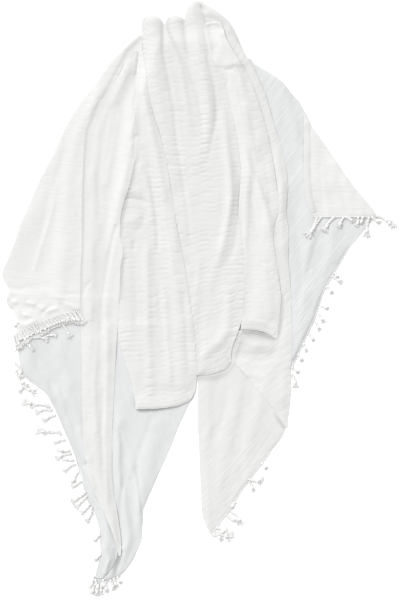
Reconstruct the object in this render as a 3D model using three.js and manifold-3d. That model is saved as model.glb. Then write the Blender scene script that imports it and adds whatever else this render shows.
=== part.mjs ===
// A fringed prayer shawl of white cotton gauze, drawn into pleats at its crest and laid flat, in millimetres.
// +Z is up and +Y runs to the crest. Each stretch of cloth is a thin wall that lies on the stretches before it.
// All the walls are worked out on one grid, so that a wall's underside follows the wall that it rests on.

import * as THREE from "three";
import { mergeVertices } from "three/addons/utils/BufferGeometryUtils.js";
import Module from "manifold-3d";

const wasm = await Module();
wasm.setup();

const wall = 1.8; // thickness of the cloth
const seam = 0.3; // gap that keeps two stretches apart
const hemDepth = 17; // doubled hem, measured in from the edge
const hemWall = 1.2; // how far the doubled hem stands up from its panel
const hemInset = 1; // hem's outer edge, in from the panel's
const coreRim = 3; // height of the hidden layers at their edge
const coreSlope = 45; // distance over which they reach their full height
const gridX = 16; // cell of the common grid, narrow across the folds
const gridY = 72;
const reach = { x: 576, y: 864, top: 120 }; // half sizes and height of the space that the grid covers

const tassel = { root: 1.9, waist: 1.4, knot: 4.2, tip: 1, neckAt: 0.55, knotAt: 0.75, lift: 0.4 };
const header = { width: 4, height: 1.6, out: 2.8 }; // strip that the tassels grow from

const cotton = new THREE.Color(0.9, 0.9, 0.88);

// Edges of each stretch: at y it reaches from left to right.
const panels = {
  hidden_folds: [
    { y: 672, left: -124, right: 101 },
    { y: 598, left: -144, right: 126 },
    { y: 472, left: -189, right: 156 },
    { y: 322, left: -214, right: 186 },
    { y: 122, left: -224, right: 201 },
    { y: -52, left: -214, right: 181 },
    { y: -128, left: -199, right: 71 },
    { y: -215, left: -154, right: -29 },
  ],
  right_back: [
    { y: 588, left: 96, right: 130 },
    { y: 535, left: 101, right: 214 },
    { y: 492, left: 111, right: 251 },
    { y: 430, left: 126, right: 281 },
    { y: 328, left: 141, right: 351 },
    { y: 260, left: 146, right: 401 },
    { y: 212, left: 151, right: 444 },
    { y: 185, left: 156, right: 421 },
    { y: 135, left: 156, right: 376 },
    { y: 92, left: 159, right: 351 },
    { y: 18, left: 166, right: 309 },
    { y: -52, left: 176, right: 286 },
    { y: -108, left: 186, right: 259 },
    { y: -172, left: 206, right: 231 },
  ],
  right_lower: [
    { y: -78, left: 16, right: 211 },
    { y: -202, left: -4, right: 209 },
    { y: -328, left: -4, right: 214 },
    { y: -352, left: -2, right: 201 },
    { y: -382, left: -1, right: 176 },
    { y: -432, left: 1, right: 139 },
    { y: -482, left: 4, right: 101 },
    { y: -528, left: 5, right: 76 },
    { y: -550, left: 9, right: 56 },
    { y: -578, left: 21, right: 39 },
    { y: -590, left: 29, right: 34 },
  ],
  right_strip: [
    { y: 668, left: 31, right: 89 },
    { y: 635, left: 41, right: 104 },
    { y: 598, left: 69, right: 121 },
    { y: 548, left: 96, right: 149 },
    { y: 472, left: 126, right: 176 },
    { y: 410, left: 144, right: 194 },
    { y: 348, left: 156, right: 211 },
    { y: 285, left: 166, right: 221 },
    { y: 215, left: 174, right: 216 },
    { y: 98, left: 171, right: 224 },
    { y: -2, left: 156, right: 229 },
    { y: -102, left: 96, right: 231 },
    { y: -158, left: 84, right: 229 },
    { y: -198, left: 121, right: 229 },
    { y: -258, left: 171, right: 226 },
    { y: -302, left: 204, right: 221 },
    { y: -322, left: 216, right: 221 },
  ],
  right_wing: [
    { y: 465, left: 259, right: 264 },
    { y: 430, left: 261, right: 281 },
    { y: 368, left: 261, right: 326 },
    { y: 298, left: 261, right: 372 },
    { y: 248, left: 266, right: 412 },
    { y: 218, left: 276, right: 439 },
    { y: 205, left: 286, right: 441 },
  ],
  left_tail: [
    { y: -60, left: -234, right: -40 },
    { y: -182, left: -234, right: -19 },
    { y: -245, left: -234, right: -12 },
    { y: -282, left: -234, right: -36 },
    { y: -378, left: -234, right: -76 },
    { y: -472, left: -234, right: -119 },
    { y: -528, left: -229, right: -142 },
    { y: -602, left: -236, right: -145 },
    { y: -640, left: -246, right: -161 },
    { y: -688, left: -259, right: -192 },
    { y: -716, left: -262, right: -256 },
  ],
  left_lower: [
    { y: 8, left: -454, right: -219 },
    { y: -115, left: -456, right: -221 },
    { y: -165, left: -449, right: -224 },
    { y: -202, left: -429, right: -226 },
    { y: -232, left: -384, right: -229 },
    { y: -278, left: -359, right: -231 },
    { y: -390, left: -311, right: -234 },
    { y: -500, left: -281, right: -231 },
    { y: -540, left: -261, right: -219 },
    { y: -578, left: -249, right: -209 },
    { y: -622, left: -246, right: -204 },
  ],
  left_wing: [
    { y: 658, left: -151, right: -141 },
    { y: 635, left: -179, right: -144 },
    { y: 588, left: -224, right: -164 },
    { y: 535, left: -261, right: -191 },
    { y: 488, left: -299, right: -219 },
    { y: 410, left: -344, right: -254 },
    { y: 335, left: -379, right: -261 },
    { y: 222, left: -431, right: -264 },
    { y: 122, left: -469, right: -264 },
    { y: 72, left: -491, right: -264 },
    { y: 45, left: -489, right: -264 },
    { y: 22, left: -476, right: -264 },
    { y: -2, left: -484, right: -264 },
    { y: -25, left: -469, right: -264 },
    { y: -42, left: -459, right: -264 },
  ],
  top_fold: [
    { y: 744, left: -9, right: 4 },
    { y: 725, left: -16, right: 34 },
    { y: 710, left: -21, right: 54 },
    { y: 695, left: -21, right: 71 },
    { y: 678, left: -16, right: 84 },
    { y: 635, left: -4, right: 101 },
    { y: 582, left: 16, right: 116 },
  ],
  front_middle: [
    { y: 688, left: -144, right: 1 },
    { y: 658, left: -144, right: 14 },
    { y: 598, left: -149, right: 36 },
    { y: 522, left: -151, right: 91 },
    { y: 422, left: -126, right: 116 },
    { y: 322, left: -101, right: 126 },
    { y: 248, left: -91, right: 126 },
    { y: 148, left: -74, right: 119 },
    { y: 48, left: -54, right: 116 },
    { y: -52, left: -41, right: 106 },
    { y: -115, left: -31, right: 91 },
    { y: -158, left: -26, right: 79 },
    { y: -180, left: -24, right: 56 },
    { y: -190, left: -19, right: 16 },
  ],
  front_right: [
    { y: 690, left: 16, right: 56 },
    { y: 648, left: 16, right: 72 },
    { y: 608, left: 26, right: 96 },
    { y: 578, left: 44, right: 111 },
    { y: 558, left: 66, right: 122 },
    { y: 505, left: 71, right: 144 },
    { y: 452, left: 84, right: 160 },
    { y: 398, left: 95, right: 174 },
    { y: 328, left: 104, right: 186 },
    { y: 272, left: 101, right: 195 },
    { y: 210, left: 96, right: 202 },
    { y: 135, left: 106, right: 205 },
    { y: 22, left: 109, right: 206 },
    { y: -52, left: 106, right: 200 },
    { y: -78, left: 104, right: 195 },
    { y: -85, left: 156, right: 194 },
    { y: -98, left: 184, right: 191 },
  ],
  front_left: [
    { y: 622, left: -144, right: -134 },
    { y: 522, left: -146, right: -129 },
    { y: 460, left: -144, right: -116 },
    { y: 410, left: -144, right: -99 },
    { y: 358, left: -146, right: -86 },
    { y: 272, left: -171, right: -71 },
    { y: 198, left: -186, right: -60 },
    { y: 138, left: -176, right: -49 },
    { y: 92, left: -189, right: -39 },
    { y: -2, left: -191, right: -24 },
    { y: -102, left: -194, right: -11 },
    { y: -142, left: -181, right: -9 },
    { y: -215, left: -166, right: -5 },
    { y: -245, left: -162, right: -16 },
    { y: -262, left: -159, right: -39 },
    { y: -275, left: -156, right: -119 },
  ],
  left_strip: [
    { y: 615, left: -179, right: -149 },
    { y: 592, left: -194, right: -150 },
    { y: 535, left: -224, right: -151 },
    { y: 490, left: -251, right: -151 },
    { y: 455, left: -269, right: -149 },
    { y: 422, left: -284, right: -149 },
    { y: 358, left: -289, right: -155 },
    { y: 322, left: -291, right: -166 },
    { y: 242, left: -294, right: -188 },
    { y: 198, left: -294, right: -199 },
    { y: 152, left: -294, right: -204 },
    { y: 132, left: -294, right: -192 },
    { y: -2, left: -299, right: -200 },
    { y: -165, left: -294, right: -210 },
    { y: -352, left: -291, right: -219 },
    { y: -440, left: -279, right: -220 },
    { y: -490, left: -259, right: -216 },
    { y: -540, left: -234, right: -204 },
    { y: -590, left: -219, right: -195 },
    { y: -635, left: -206, right: -192 },
  ],
};

// Round ends of the three rolled pleats at the crest, each on a straight stem.
const pleatHeads = [
  { x: -119, y: 682, radius: 25, stem: 30 },
  { x: -59, y: 685, radius: 23, stem: 30 },
  { x: -10, y: 724, radius: 21, stem: 60 },
];

// Height of the hidden layers down the length of the shawl.
const coreHeights = [
  { y: 672, height: 12 },
  { y: 560, height: 18 },
  { y: 400, height: 15 },
  { y: 122, height: 10 },
  { y: -215, height: 4 },
];

// The largest folds: rounded ridges, each through its sections.
const folds = {
  right_back: [
    [
      { y: 372, x: 264, width: 15, height: 3 },
      { y: 172, x: 281, width: 20, height: 5 },
      { y: 48, x: 266, width: 18, height: 5 },
      { y: -78, x: 251, width: 15, height: 3 },
    ],
  ],
  right_wing: [
    [
      { y: 398, x: 281, width: 15, height: 3 },
      { y: 298, x: 301, width: 20, height: 5 },
      { y: 218, x: 326, width: 20, height: 4 },
    ],
  ],
  right_lower: [
    [
      { y: -215, x: 96, width: 22, height: 6 },
      { y: -302, x: 81, width: 22, height: 7 },
      { y: -402, x: 66, width: 22, height: 5 },
      { y: -528, x: 39, width: 18, height: 4 },
    ],
    [
      { y: -215, x: 156, width: 20, height: 5 },
      { y: -278, x: 146, width: 20, height: 6 },
      { y: -378, x: 116, width: 20, height: 4 },
    ],
    [
      { y: -252, x: 16, width: 15, height: 4 },
      { y: -402, x: 16, width: 15, height: 4 },
      { y: -540, x: 21, width: 15, height: 5 },
    ],
  ],
  right_strip: [
    [
      { y: 618, x: 111, width: 15, height: 5 },
      { y: 522, x: 146, width: 15, height: 4 },
      { y: 372, x: 189, width: 15, height: 4 },
      { y: 248, x: 206, width: 18, height: 7 },
      { y: 98, x: 216, width: 15, height: 4 },
      { y: -78, x: 216, width: 15, height: 2 },
    ],
    [
      { y: -102, x: 176, width: 25, height: 5 },
      { y: -202, x: 191, width: 22, height: 5 },
      { y: -278, x: 209, width: 15, height: 3 },
    ],
  ],
  left_tail: [
    [
      { y: -302, x: -199, width: 15, height: 4 },
      { y: -428, x: -204, width: 15, height: 5 },
      { y: -528, x: -174, width: 15, height: 6 },
      { y: -602, x: -169, width: 15, height: 6 },
      { y: -678, x: -204, width: 18, height: 7 },
    ],
    [
      { y: -302, x: -99, width: 25, height: 4 },
      { y: -402, x: -124, width: 20, height: 4 },
      { y: -502, x: -151, width: 15, height: 4 },
    ],
  ],
  left_lower: [
    [
      { y: -128, x: -349, width: 20, height: 4 },
      { y: -228, x: -324, width: 20, height: 4 },
      { y: -328, x: -294, width: 20, height: 3 },
      { y: -578, x: -239, width: 15, height: 5 },
    ],
    [
      { y: -78, x: -424, width: 22, height: 5 },
      { y: -165, x: -426, width: 20, height: 6 },
      { y: -248, x: -372, width: 18, height: 3 },
    ],
  ],
  left_wing: [
    [
      { y: 522, x: -249, width: 18, height: 5 },
      { y: 398, x: -311, width: 25, height: 4 },
      { y: 98, x: -344, width: 35, height: 5 },
      { y: -28, x: -354, width: 25, height: 4 },
    ],
  ],
  top_fold: [
    [
      { y: 744, x: 0, width: 30, height: 12 },
      { y: 690, x: 40, width: 40, height: 20 },
      { y: 582, x: 80, width: 30, height: 4 },
    ],
  ],
  front_middle: [
    [
      { y: 710, x: -121, width: 22, height: 14 },
      { y: 598, x: -114, width: 20, height: 12 },
      { y: 472, x: -99, width: 15, height: 8 },
      { y: 322, x: -74, width: 15, height: 5 },
      { y: -2, x: -24, width: 15, height: 2 },
    ],
    [
      { y: 710, x: -59, width: 20, height: 12 },
      { y: 598, x: -49, width: 20, height: 9 },
      { y: 372, x: -9, width: 15, height: 4 },
      { y: 198, x: 14, width: 20, height: 2 },
    ],
    [
      { y: 742, x: -12, width: 20, height: 12 },
      { y: 635, x: -1, width: 20, height: 16 },
      { y: 535, x: 16, width: 18, height: 13 },
      { y: 422, x: 21, width: 18, height: 8 },
      { y: 335, x: 16, width: 18, height: 3 },
    ],
    [
      { y: 522, x: 44, width: 15, height: 3 },
      { y: 298, x: 66, width: 20, height: 11 },
      { y: 185, x: 51, width: 25, height: 10 },
      { y: -28, x: 16, width: 30, height: 2 },
    ],
  ],
  front_right: [
    [
      { y: 672, x: 39, width: 22, height: 9 },
      { y: 472, x: 96, width: 18, height: 8 },
      { y: 348, x: 116, width: 15, height: 10 },
      { y: 248, x: 119, width: 15, height: 10 },
      { y: 160, x: 118, width: 15, height: 7 },
      { y: 22, x: 124, width: 15, height: 3 },
    ],
    [
      { y: 548, x: 111, width: 15, height: 4 },
      { y: 272, x: 156, width: 15, height: 8 },
      { y: 198, x: 176, width: 18, height: 5 },
      { y: 22, x: 186, width: 20, height: 2 },
    ],
  ],
  front_left: [
    [
      { y: 448, x: -118, width: 15, height: 3 },
      { y: 298, x: -114, width: 20, height: 4 },
      { y: 172, x: -128, width: 20, height: 6 },
      { y: -178, x: -124, width: 30, height: 2 },
    ],
  ],
  left_strip: [
    [
      { y: 572, x: -179, width: 22, height: 6 },
      { y: 472, x: -219, width: 22, height: 4 },
      { y: 172, x: -261, width: 22, height: 3 },
      { y: -252, x: -269, width: 20, height: 3 },
      { y: -452, x: -254, width: 18, height: 5 },
      { y: -602, x: -212, width: 15, height: 4 },
    ],
    [
      { y: 422, x: -169, width: 15, height: 5 },
      { y: 322, x: -184, width: 15, height: 8 },
      { y: 122, x: -216, width: 15, height: 9 },
      { y: -128, x: -226, width: 15, height: 7 },
      { y: -328, x: -234, width: 15, height: 5 },
      { y: -478, x: -234, width: 15, height: 6 },
    ],
  ],
};

// Hem edges, followed from left to right or downwards; the band lies on the panel, to the left of that way.
const hems = {
  front_left: [
    { x: -156, y: -275 },
    { x: -119, y: -275 },
    { x: -79, y: -271 },
    { x: -39, y: -262 },
    { x: -20, y: -250 },
  ],
  front_middle: [
    { x: -4, y: -190 },
    { x: 16, y: -190 },
    { x: 39, y: -185 },
    { x: 56, y: -180 },
    { x: 79, y: -158 },
  ],
  front_right: [
    { x: 104, y: -78 },
    { x: 156, y: -85 },
    { x: 184, y: -98 },
    { x: 191, y: -98 },
  ],
  right_wing: [
    { x: 261, y: 440 },
    { x: 261, y: 298 },
    { x: 266, y: 248 },
    { x: 276, y: 218 },
  ],
};

// Fringed edges, with the tassels along them: "lean" turns a tassel away from straight out, in degrees.
const fringes = {
  fringe_left_wing: {
    edge: [
      { x: -459, y: -42 },
      { x: -412, y: -42 },
      { x: -360, y: -42 },
      { x: -310, y: -42 },
    ],
    tassels: 11,
    length: 56,
    lean: [-20, 15, 35, -10, 25],
  },
  fringe_left_lower: {
    edge: [
      { x: -446, y: -172 },
      { x: -429, y: -202 },
      { x: -384, y: -232 },
      { x: -359, y: -278 },
      { x: -311, y: -390 },
      { x: -281, y: -500 },
      { x: -261, y: -540 },
    ],
    tassels: 26,
    length: 52,
    lean: [20, -45, -20, -50, 5, -35],
  },
  fringe_left_tip: {
    edge: [
      { x: -249, y: -578 },
      { x: -246, y: -640 },
      { x: -259, y: -688 },
      { x: -262, y: -716 },
      { x: -256, y: -716 },
      { x: -192, y: -688 },
    ],
    tassels: 12,
    length: 32,
    lean: [40, 55, 30, 60, -10, 5, -20],
  },
  fringe_right_lower: {
    edge: [
      { x: 34, y: -590 },
      { x: 39, y: -578 },
      { x: 56, y: -550 },
      { x: 76, y: -528 },
      { x: 101, y: -482 },
      { x: 139, y: -432 },
      { x: 176, y: -382 },
    ],
    tassels: 16,
    length: 50,
    lean: [25, -35, 10, -20, 40],
  },
  fringe_right_back: {
    edge: [
      { x: 231, y: -172 },
      { x: 259, y: -108 },
      { x: 286, y: -52 },
      { x: 309, y: 18 },
      { x: 351, y: 92 },
      { x: 376, y: 135 },
      { x: 398, y: 160 },
    ],
    tassels: 17,
    length: 38,
    lean: [-45, 20, -25, 35, -10],
  },
  fringe_right_wing: {
    edge: [
      { x: 286, y: 205 },
      { x: 330, y: 205 },
      { x: 390, y: 205 },
      { x: 452, y: 203 },
    ],
    tassels: 9,
    length: 52,
    lean: [-50, -30, -20, 25, 20, -25, 5, 10, 56],
  },
};

// Linear reading of a column of a table whose rows run down from the highest y.
function readTable(rows, y, column) {
  if (y >= rows[0].y) return rows[0][column];
  for (let i = 1; i < rows.length; i++) {
    const above = rows[i - 1];
    const below = rows[i];
    if (y >= below.y) {
      const share = (above.y - y) / (above.y - below.y);
      return THREE.MathUtils.lerp(above[column], below[column], share);
    }
  }
  return rows[rows.length - 1][column];
}

// Height of a rounded ridge over a point; beyond its first and last section it dies away.
function ridgeHeight(sections, x, y) {
  const last = sections[sections.length - 1];
  const past = Math.max(y - sections[0].y, last.y - y, 0);
  const fade = Math.max(0, 1 - past / (1.5 * gridY));
  const offset = (x - readTable(sections, y, "x")) / readTable(sections, y, "width");
  return fade * readTable(sections, y, "height") * Math.exp(-offset * offset);
}

function foldHeight(name, x, y) {
  let height = 0;
  for (const sections of folds[name] ?? []) height += ridgeHeight(sections, x, y);
  return height;
}

// Hidden layers: full height in the middle, sloping to a low rim all round.
function coreHeight(x, y) {
  const rows = panels.hidden_folds;
  const inside = Math.min(
    x - readTable(rows, y, "left"),
    readTable(rows, y, "right") - x,
    rows[0].y - y,
    y - rows[rows.length - 1].y,
  );
  const share = THREE.MathUtils.smoothstep(inside, 0, coreSlope);
  return coreRim + share * (readTable(coreHeights, y, "height") - coreRim);
}

const columns = Math.round((2 * reach.x) / gridX);
const rowsOfGrid = Math.round((2 * reach.y) / gridY);
const gridPoint = (i, j) => ({ x: -reach.x + i * gridX, y: -reach.y + j * gridY });

// A value at each grid point, as one array per row.
function makeField(valueAt) {
  const field = [];
  for (let j = 0; j <= rowsOfGrid; j++) {
    const row = [];
    for (let i = 0; i <= columns; i++) {
      const { x, y } = gridPoint(i, j);
      row.push(valueAt(x, y, i, j));
    }
    field.push(row);
  }
  return field;
}

let support = makeField(() => 0); // top of everything laid so far

// Height of the support at any point, read on the same triangles as the walls.
function supportAt(x, y) {
  const u = (x + reach.x) / gridX;
  const v = (y + reach.y) / gridY;
  const i = Math.floor(u);
  const j = Math.floor(v);
  const s = u - i;
  const t = v - j;
  const low = support[j][i];
  const high = support[j + 1][i + 1];
  const corner = s > t ? support[j][i + 1] : support[j + 1][i];
  if (s > t) return low + (corner - low) * s + (high - corner) * t;
  return low + (corner - low) * t + (high - corner) * s;
}

function solidFrom(geometry) {
  const bare = geometry.clone();
  bare.deleteAttribute("normal");
  bare.deleteAttribute("uv");
  const merged = mergeVertices(bare, 1e-3);
  const mesh = new wasm.Mesh({
    numProp: 3,
    vertProperties: new Float32Array(merged.attributes.position.array),
    triVerts: new Uint32Array(merged.index.array),
  });
  return new wasm.Manifold(mesh);
}

function meshFrom(name, solid) {
  const made = solid.getMesh();
  const geometry = new THREE.BufferGeometry();
  geometry.setAttribute("position", new THREE.BufferAttribute(made.vertProperties, 3));
  geometry.setIndex(new THREE.BufferAttribute(made.triVerts, 1));
  geometry.computeVertexNormals();
  const finish = new THREE.MeshStandardMaterial({ color: cotton, roughness: 0.95, metalness: 0 });
  const mesh = new THREE.Mesh(geometry, finish);
  mesh.name = name;
  return mesh;
}

// A wall between two fields, over the cells that touch the box of an outline.
function wallBetween(bottom, top, outline) {
  const xs = outline.map((p) => p.x);
  const ys = outline.map((p) => p.y);
  const firstI = Math.floor((Math.min(...xs) + reach.x) / gridX) - 1;
  const lastI = Math.ceil((Math.max(...xs) + reach.x) / gridX) + 1;
  const firstJ = Math.floor((Math.min(...ys) + reach.y) / gridY) - 1;
  const lastJ = Math.ceil((Math.max(...ys) + reach.y) / gridY) + 1;
  const across = lastI - firstI + 1;
  const layer = across * (lastJ - firstJ + 1);
  const points = [];
  for (const field of [bottom, top]) {
    for (let j = firstJ; j <= lastJ; j++) {
      for (let i = firstI; i <= lastI; i++) {
        const { x, y } = gridPoint(i, j);
        points.push(x, y, field[j][i]);
      }
    }
  }
  const index = [];
  const at = (i, j, level) => level * layer + (j - firstJ) * across + (i - firstI);
  const side = (a, b, c, d) => index.push(a, b, c, a, c, d);
  for (let j = firstJ; j < lastJ; j++) {
    for (let i = firstI; i < lastI; i++) {
      const [a, b, c, d] = [at(i, j, 1), at(i + 1, j, 1), at(i + 1, j + 1, 1), at(i, j + 1, 1)];
      index.push(a, b, c, a, c, d);
      index.push(a - layer, c - layer, b - layer, a - layer, d - layer, c - layer);
    }
  }
  for (let i = firstI; i < lastI; i++) {
    side(at(i, firstJ, 0), at(i + 1, firstJ, 0), at(i + 1, firstJ, 1), at(i, firstJ, 1));
    side(at(i + 1, lastJ, 0), at(i, lastJ, 0), at(i, lastJ, 1), at(i + 1, lastJ, 1));
  }
  for (let j = firstJ; j < lastJ; j++) {
    side(at(firstI, j + 1, 0), at(firstI, j, 0), at(firstI, j, 1), at(firstI, j + 1, 1));
    side(at(lastI, j, 0), at(lastI, j + 1, 0), at(lastI, j + 1, 1), at(lastI, j, 1));
  }
  const geometry = new THREE.BufferGeometry();
  geometry.setAttribute("position", new THREE.Float32BufferAttribute(points, 3));
  geometry.setIndex(index);
  return solidFrom(geometry);
}

// Upright prism over an outline, tall enough to cut any wall.
function prismOver(outline) {
  const shape = new THREE.Shape(outline.map((p) => new THREE.Vector2(p.x, p.y)));
  const geometry = new THREE.ExtrudeGeometry(shape, { depth: reach.top + 10, bevelEnabled: false });
  return solidFrom(geometry.translate(0, 0, -5));
}

function outlineOf(rows) {
  const down = rows.map((row) => ({ x: row.left, y: row.y }));
  const up = rows.map((row) => ({ x: row.right, y: row.y })).reverse();
  return [...down, ...up];
}

// True where a grid point belongs to a cell that the panel touches.
function nearPanel(rows, x, y) {
  if (y > rows[0].y + gridY || y < rows[rows.length - 1].y - gridY) return false;
  const levels = [y - gridY, y, y + gridY];
  for (const row of rows) if (Math.abs(row.y - y) < gridY) levels.push(row.y);
  const lefts = levels.map((level) => readTable(rows, level, "left"));
  const rights = levels.map((level) => readTable(rows, level, "right"));
  return x > Math.min(...lefts) - gridX && x < Math.max(...rights) + gridX;
}

const nearHead = (x, y) =>
  pleatHeads.some((head) => Math.abs(x - head.x) < head.radius + gridX && y > head.y - gridY);

const shawl = new THREE.Group();

// Lays one stretch on what is there: its underside keeps the seam to it, and rises under the folds.
function layPanel(name) {
  const rows = panels[name];
  const isCore = name === "hidden_folds";
  const bottom = makeField((x, y, i, j) => {
    const rest = support[j][i];
    const lift = isCore ? 0 : Math.max(0, foldHeight(name, x, y) - (rest > 0 ? 0 : seam));
    return rest + Math.min(seam, rest) + lift;
  });
  const top = makeField((x, y, i, j) => bottom[j][i] + (isCore ? coreHeight(x, y) : wall));
  const outline = outlineOf(rows);
  let cutter = prismOver(outline);
  if (name === "front_middle") {
    for (const head of pleatHeads) {
      const arc = new THREE.EllipseCurve(head.x, head.y, head.radius, head.radius, 0, Math.PI);
      const foot = head.y - head.stem;
      const ends = [{ x: head.x - head.radius, y: foot }, { x: head.x + head.radius, y: foot }];
      const round = [...arc.getPoints(10), ...ends];
      outline.push(...round);
      cutter = cutter.add(prismOver(round));
    }
  }
  shawl.add(meshFrom(name, wallBetween(bottom, top, outline).intersect(cutter)));
  const hasHeads = name === "front_middle";
  support = makeField((x, y, i, j) => {
    const covered = nearPanel(rows, x, y) || (hasHeads && nearHead(x, y));
    return covered ? Math.max(support[j][i], top[j][i]) : support[j][i];
  });
}

// Points of a curve moved sideways, to the left of its direction.
function moveSideways(points, distance) {
  return points.map((point, i) => {
    const before = points[Math.max(i - 1, 0)];
    const after = points[Math.min(i + 1, points.length - 1)];
    const along = new THREE.Vector2(after.x - before.x, after.y - before.y).normalize();
    return { x: point.x - along.y * distance, y: point.y + along.x * distance };
  });
}

// The doubled hem: a second wall on the panel's own points, moved out.
function layHem(name) {
  const inner = moveSideways(hems[name], hemDepth);
  const outline = [...moveSideways(hems[name], hemInset), ...inner.reverse()];
  const bottom = makeField((x, y, i, j) => support[j][i] + seam);
  const top = makeField((x, y, i, j) => bottom[j][i] + hemWall);
  shawl.add(meshFrom("hem_" + name, wallBetween(bottom, top, outline).intersect(prismOver(outline))));
}

// A closed tube through rings of equal point counts.
function loft(rings) {
  const count = rings[0].length;
  const points = rings.flat().flatMap((p) => [p.x, p.y, p.z]);
  const index = [];
  for (let r = 0; r + 1 < rings.length; r++) {
    for (let k = 0; k < count; k++) {
      const a = r * count + k;
      const b = r * count + ((k + 1) % count);
      index.push(a, b, b + count, a, b + count, a + count);
    }
  }
  const last = (rings.length - 1) * count;
  for (let k = 1; k + 1 < count; k++) {
    index.push(0, k + 1, k);
    index.push(last, last + k, last + k + 1);
  }
  const geometry = new THREE.BufferGeometry();
  geometry.setAttribute("position", new THREE.Float32BufferAttribute(points, 3));
  geometry.setIndex(index);
  return solidFrom(geometry);
}

// Four points round a place on a path, square to its direction.
function ringAround(place, direction, halfWidth, halfHeight) {
  const sideways = new THREE.Vector3(-direction.y, direction.x, 0).multiplyScalar(halfWidth);
  const up = new THREE.Vector3(0, 0, halfHeight);
  return [
    place.clone().sub(sideways).sub(up),
    place.clone().add(sideways).sub(up),
    place.clone().add(sideways).add(up),
    place.clone().sub(sideways).add(up),
  ];
}

// A tassel: a thin strand that swells to a knot and ends in a short tip, lying on what is under it.
function tasselFrom(root, direction, length, ground) {
  const shares = [
    { at: 0, radius: tassel.root },
    { at: tassel.neckAt, radius: tassel.waist },
    { at: tassel.knotAt, radius: tassel.knot },
    { at: 1, radius: tassel.tip },
  ];
  const rings = shares.map(({ at, radius }) => {
    const place = new THREE.Vector3(root.x, root.y, 0).addScaledVector(direction, at * length);
    place.z = ground(place.x, place.y) + tassel.lift + radius;
    const [leftFoot, rightFoot] = ringAround(place, direction, radius, radius);
    return [leftFoot, rightFoot, place.clone().setZ(place.z + radius)];
  });
  return loft(rings);
}

function layFringe(name, ground) {
  const { edge, tassels, length, lean } = fringes[name];
  const middle = moveSideways(edge, -header.out);
  const rings = middle.map((point, i) => {
    const before = middle[Math.max(i - 1, 0)];
    const after = middle[Math.min(i + 1, middle.length - 1)];
    const along = new THREE.Vector3(after.x - before.x, after.y - before.y, 0).normalize();
    const place = new THREE.Vector3(point.x, point.y, 0);
    place.z = ground(point.x, point.y) + tassel.lift + header.height / 2;
    return ringAround(place, along, header.width / 2, header.height / 2);
  });
  let solid = loft(rings);
  const line = new THREE.CurvePath();
  for (let i = 0; i + 1 < middle.length; i++) {
    const from = new THREE.Vector2(middle[i].x, middle[i].y);
    const to = new THREE.Vector2(middle[i + 1].x, middle[i + 1].y);
    line.add(new THREE.LineCurve(from, to));
  }
  for (let k = 0; k < tassels; k++) {
    const share = (k + 0.5) / tassels;
    const root = line.getPointAt(share);
    const along = line.getTangentAt(share);
    const out = Math.atan2(-along.x, along.y) + THREE.MathUtils.degToRad(lean[k % lean.length]);
    const direction = new THREE.Vector3(Math.cos(out), Math.sin(out), 0);
    solid = solid.add(tasselFrom(root, direction, length * (0.85 + 0.3 * ((k * 7) % 5) / 4), ground));
  }
  shawl.add(meshFrom(name, solid));
}

const onFloor = () => 0;

layPanel("hidden_folds");
layPanel("right_back");
layPanel("right_lower");
layPanel("left_tail");
layFringe("fringe_right_back", onFloor);
layFringe("fringe_right_lower", onFloor);
layPanel("right_wing");
layPanel("left_lower");
layFringe("fringe_left_lower", onFloor);
layPanel("left_wing");
layPanel("top_fold");
layPanel("right_strip");
layPanel("front_middle");
layPanel("front_right");
layPanel("front_left");
layPanel("left_strip");
for (const name of Object.keys(hems)) layHem(name);
layFringe("fringe_left_wing", supportAt);
layFringe("fringe_left_tip", onFloor);
layFringe("fringe_right_wing", supportAt);

// The origin is under the middle of the whole shawl.
const box = new THREE.Box3().setFromObject(shawl);
const middle = box.getCenter(new THREE.Vector3());
shawl.position.set(-middle.x, -middle.y, -box.min.z);

export default shawl;
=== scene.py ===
import math

import bmesh
import bpy
import numpy as np
from mathutils import Matrix, Vector


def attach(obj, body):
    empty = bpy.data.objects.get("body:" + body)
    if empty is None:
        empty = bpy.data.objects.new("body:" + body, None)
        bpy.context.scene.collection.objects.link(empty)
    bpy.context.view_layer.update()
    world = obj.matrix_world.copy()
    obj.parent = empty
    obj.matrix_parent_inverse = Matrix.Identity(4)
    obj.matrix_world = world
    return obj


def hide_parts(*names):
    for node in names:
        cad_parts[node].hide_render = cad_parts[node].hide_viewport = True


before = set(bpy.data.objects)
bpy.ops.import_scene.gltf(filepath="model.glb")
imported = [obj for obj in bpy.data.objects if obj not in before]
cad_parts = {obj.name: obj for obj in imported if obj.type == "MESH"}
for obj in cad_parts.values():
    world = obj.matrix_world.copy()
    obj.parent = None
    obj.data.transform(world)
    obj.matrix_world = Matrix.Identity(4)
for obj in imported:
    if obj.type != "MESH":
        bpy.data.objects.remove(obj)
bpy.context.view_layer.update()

# Tables are in millimetres on the part's own drawing; mm and drawingShift bring them into the frame.
mm = 0.001
drawingShift = Vector((4.365, -4.993, 0.0))

# height of the pile of cloth, on one raster that every stretch is laid on
raster = dict(step=2.0, halfWidth=560, halfLength=800)
acrossAxis = np.arange(-raster["halfWidth"], raster["halfWidth"] + 1, raster["step"])
alongAxis = np.arange(-raster["halfLength"], raster["halfLength"] + 1, raster["step"])
gridX, gridY = np.meshgrid(acrossAxis, alongAxis)
pile = np.zeros_like(gridX)  # top of everything laid so far

noiseCells = 64
columnBlur, columnMargin, ridgeBlur, ridgeFade = 14, 60, 30, 60


def eased(t):
    return t * t * (3 - 2 * t)


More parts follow.
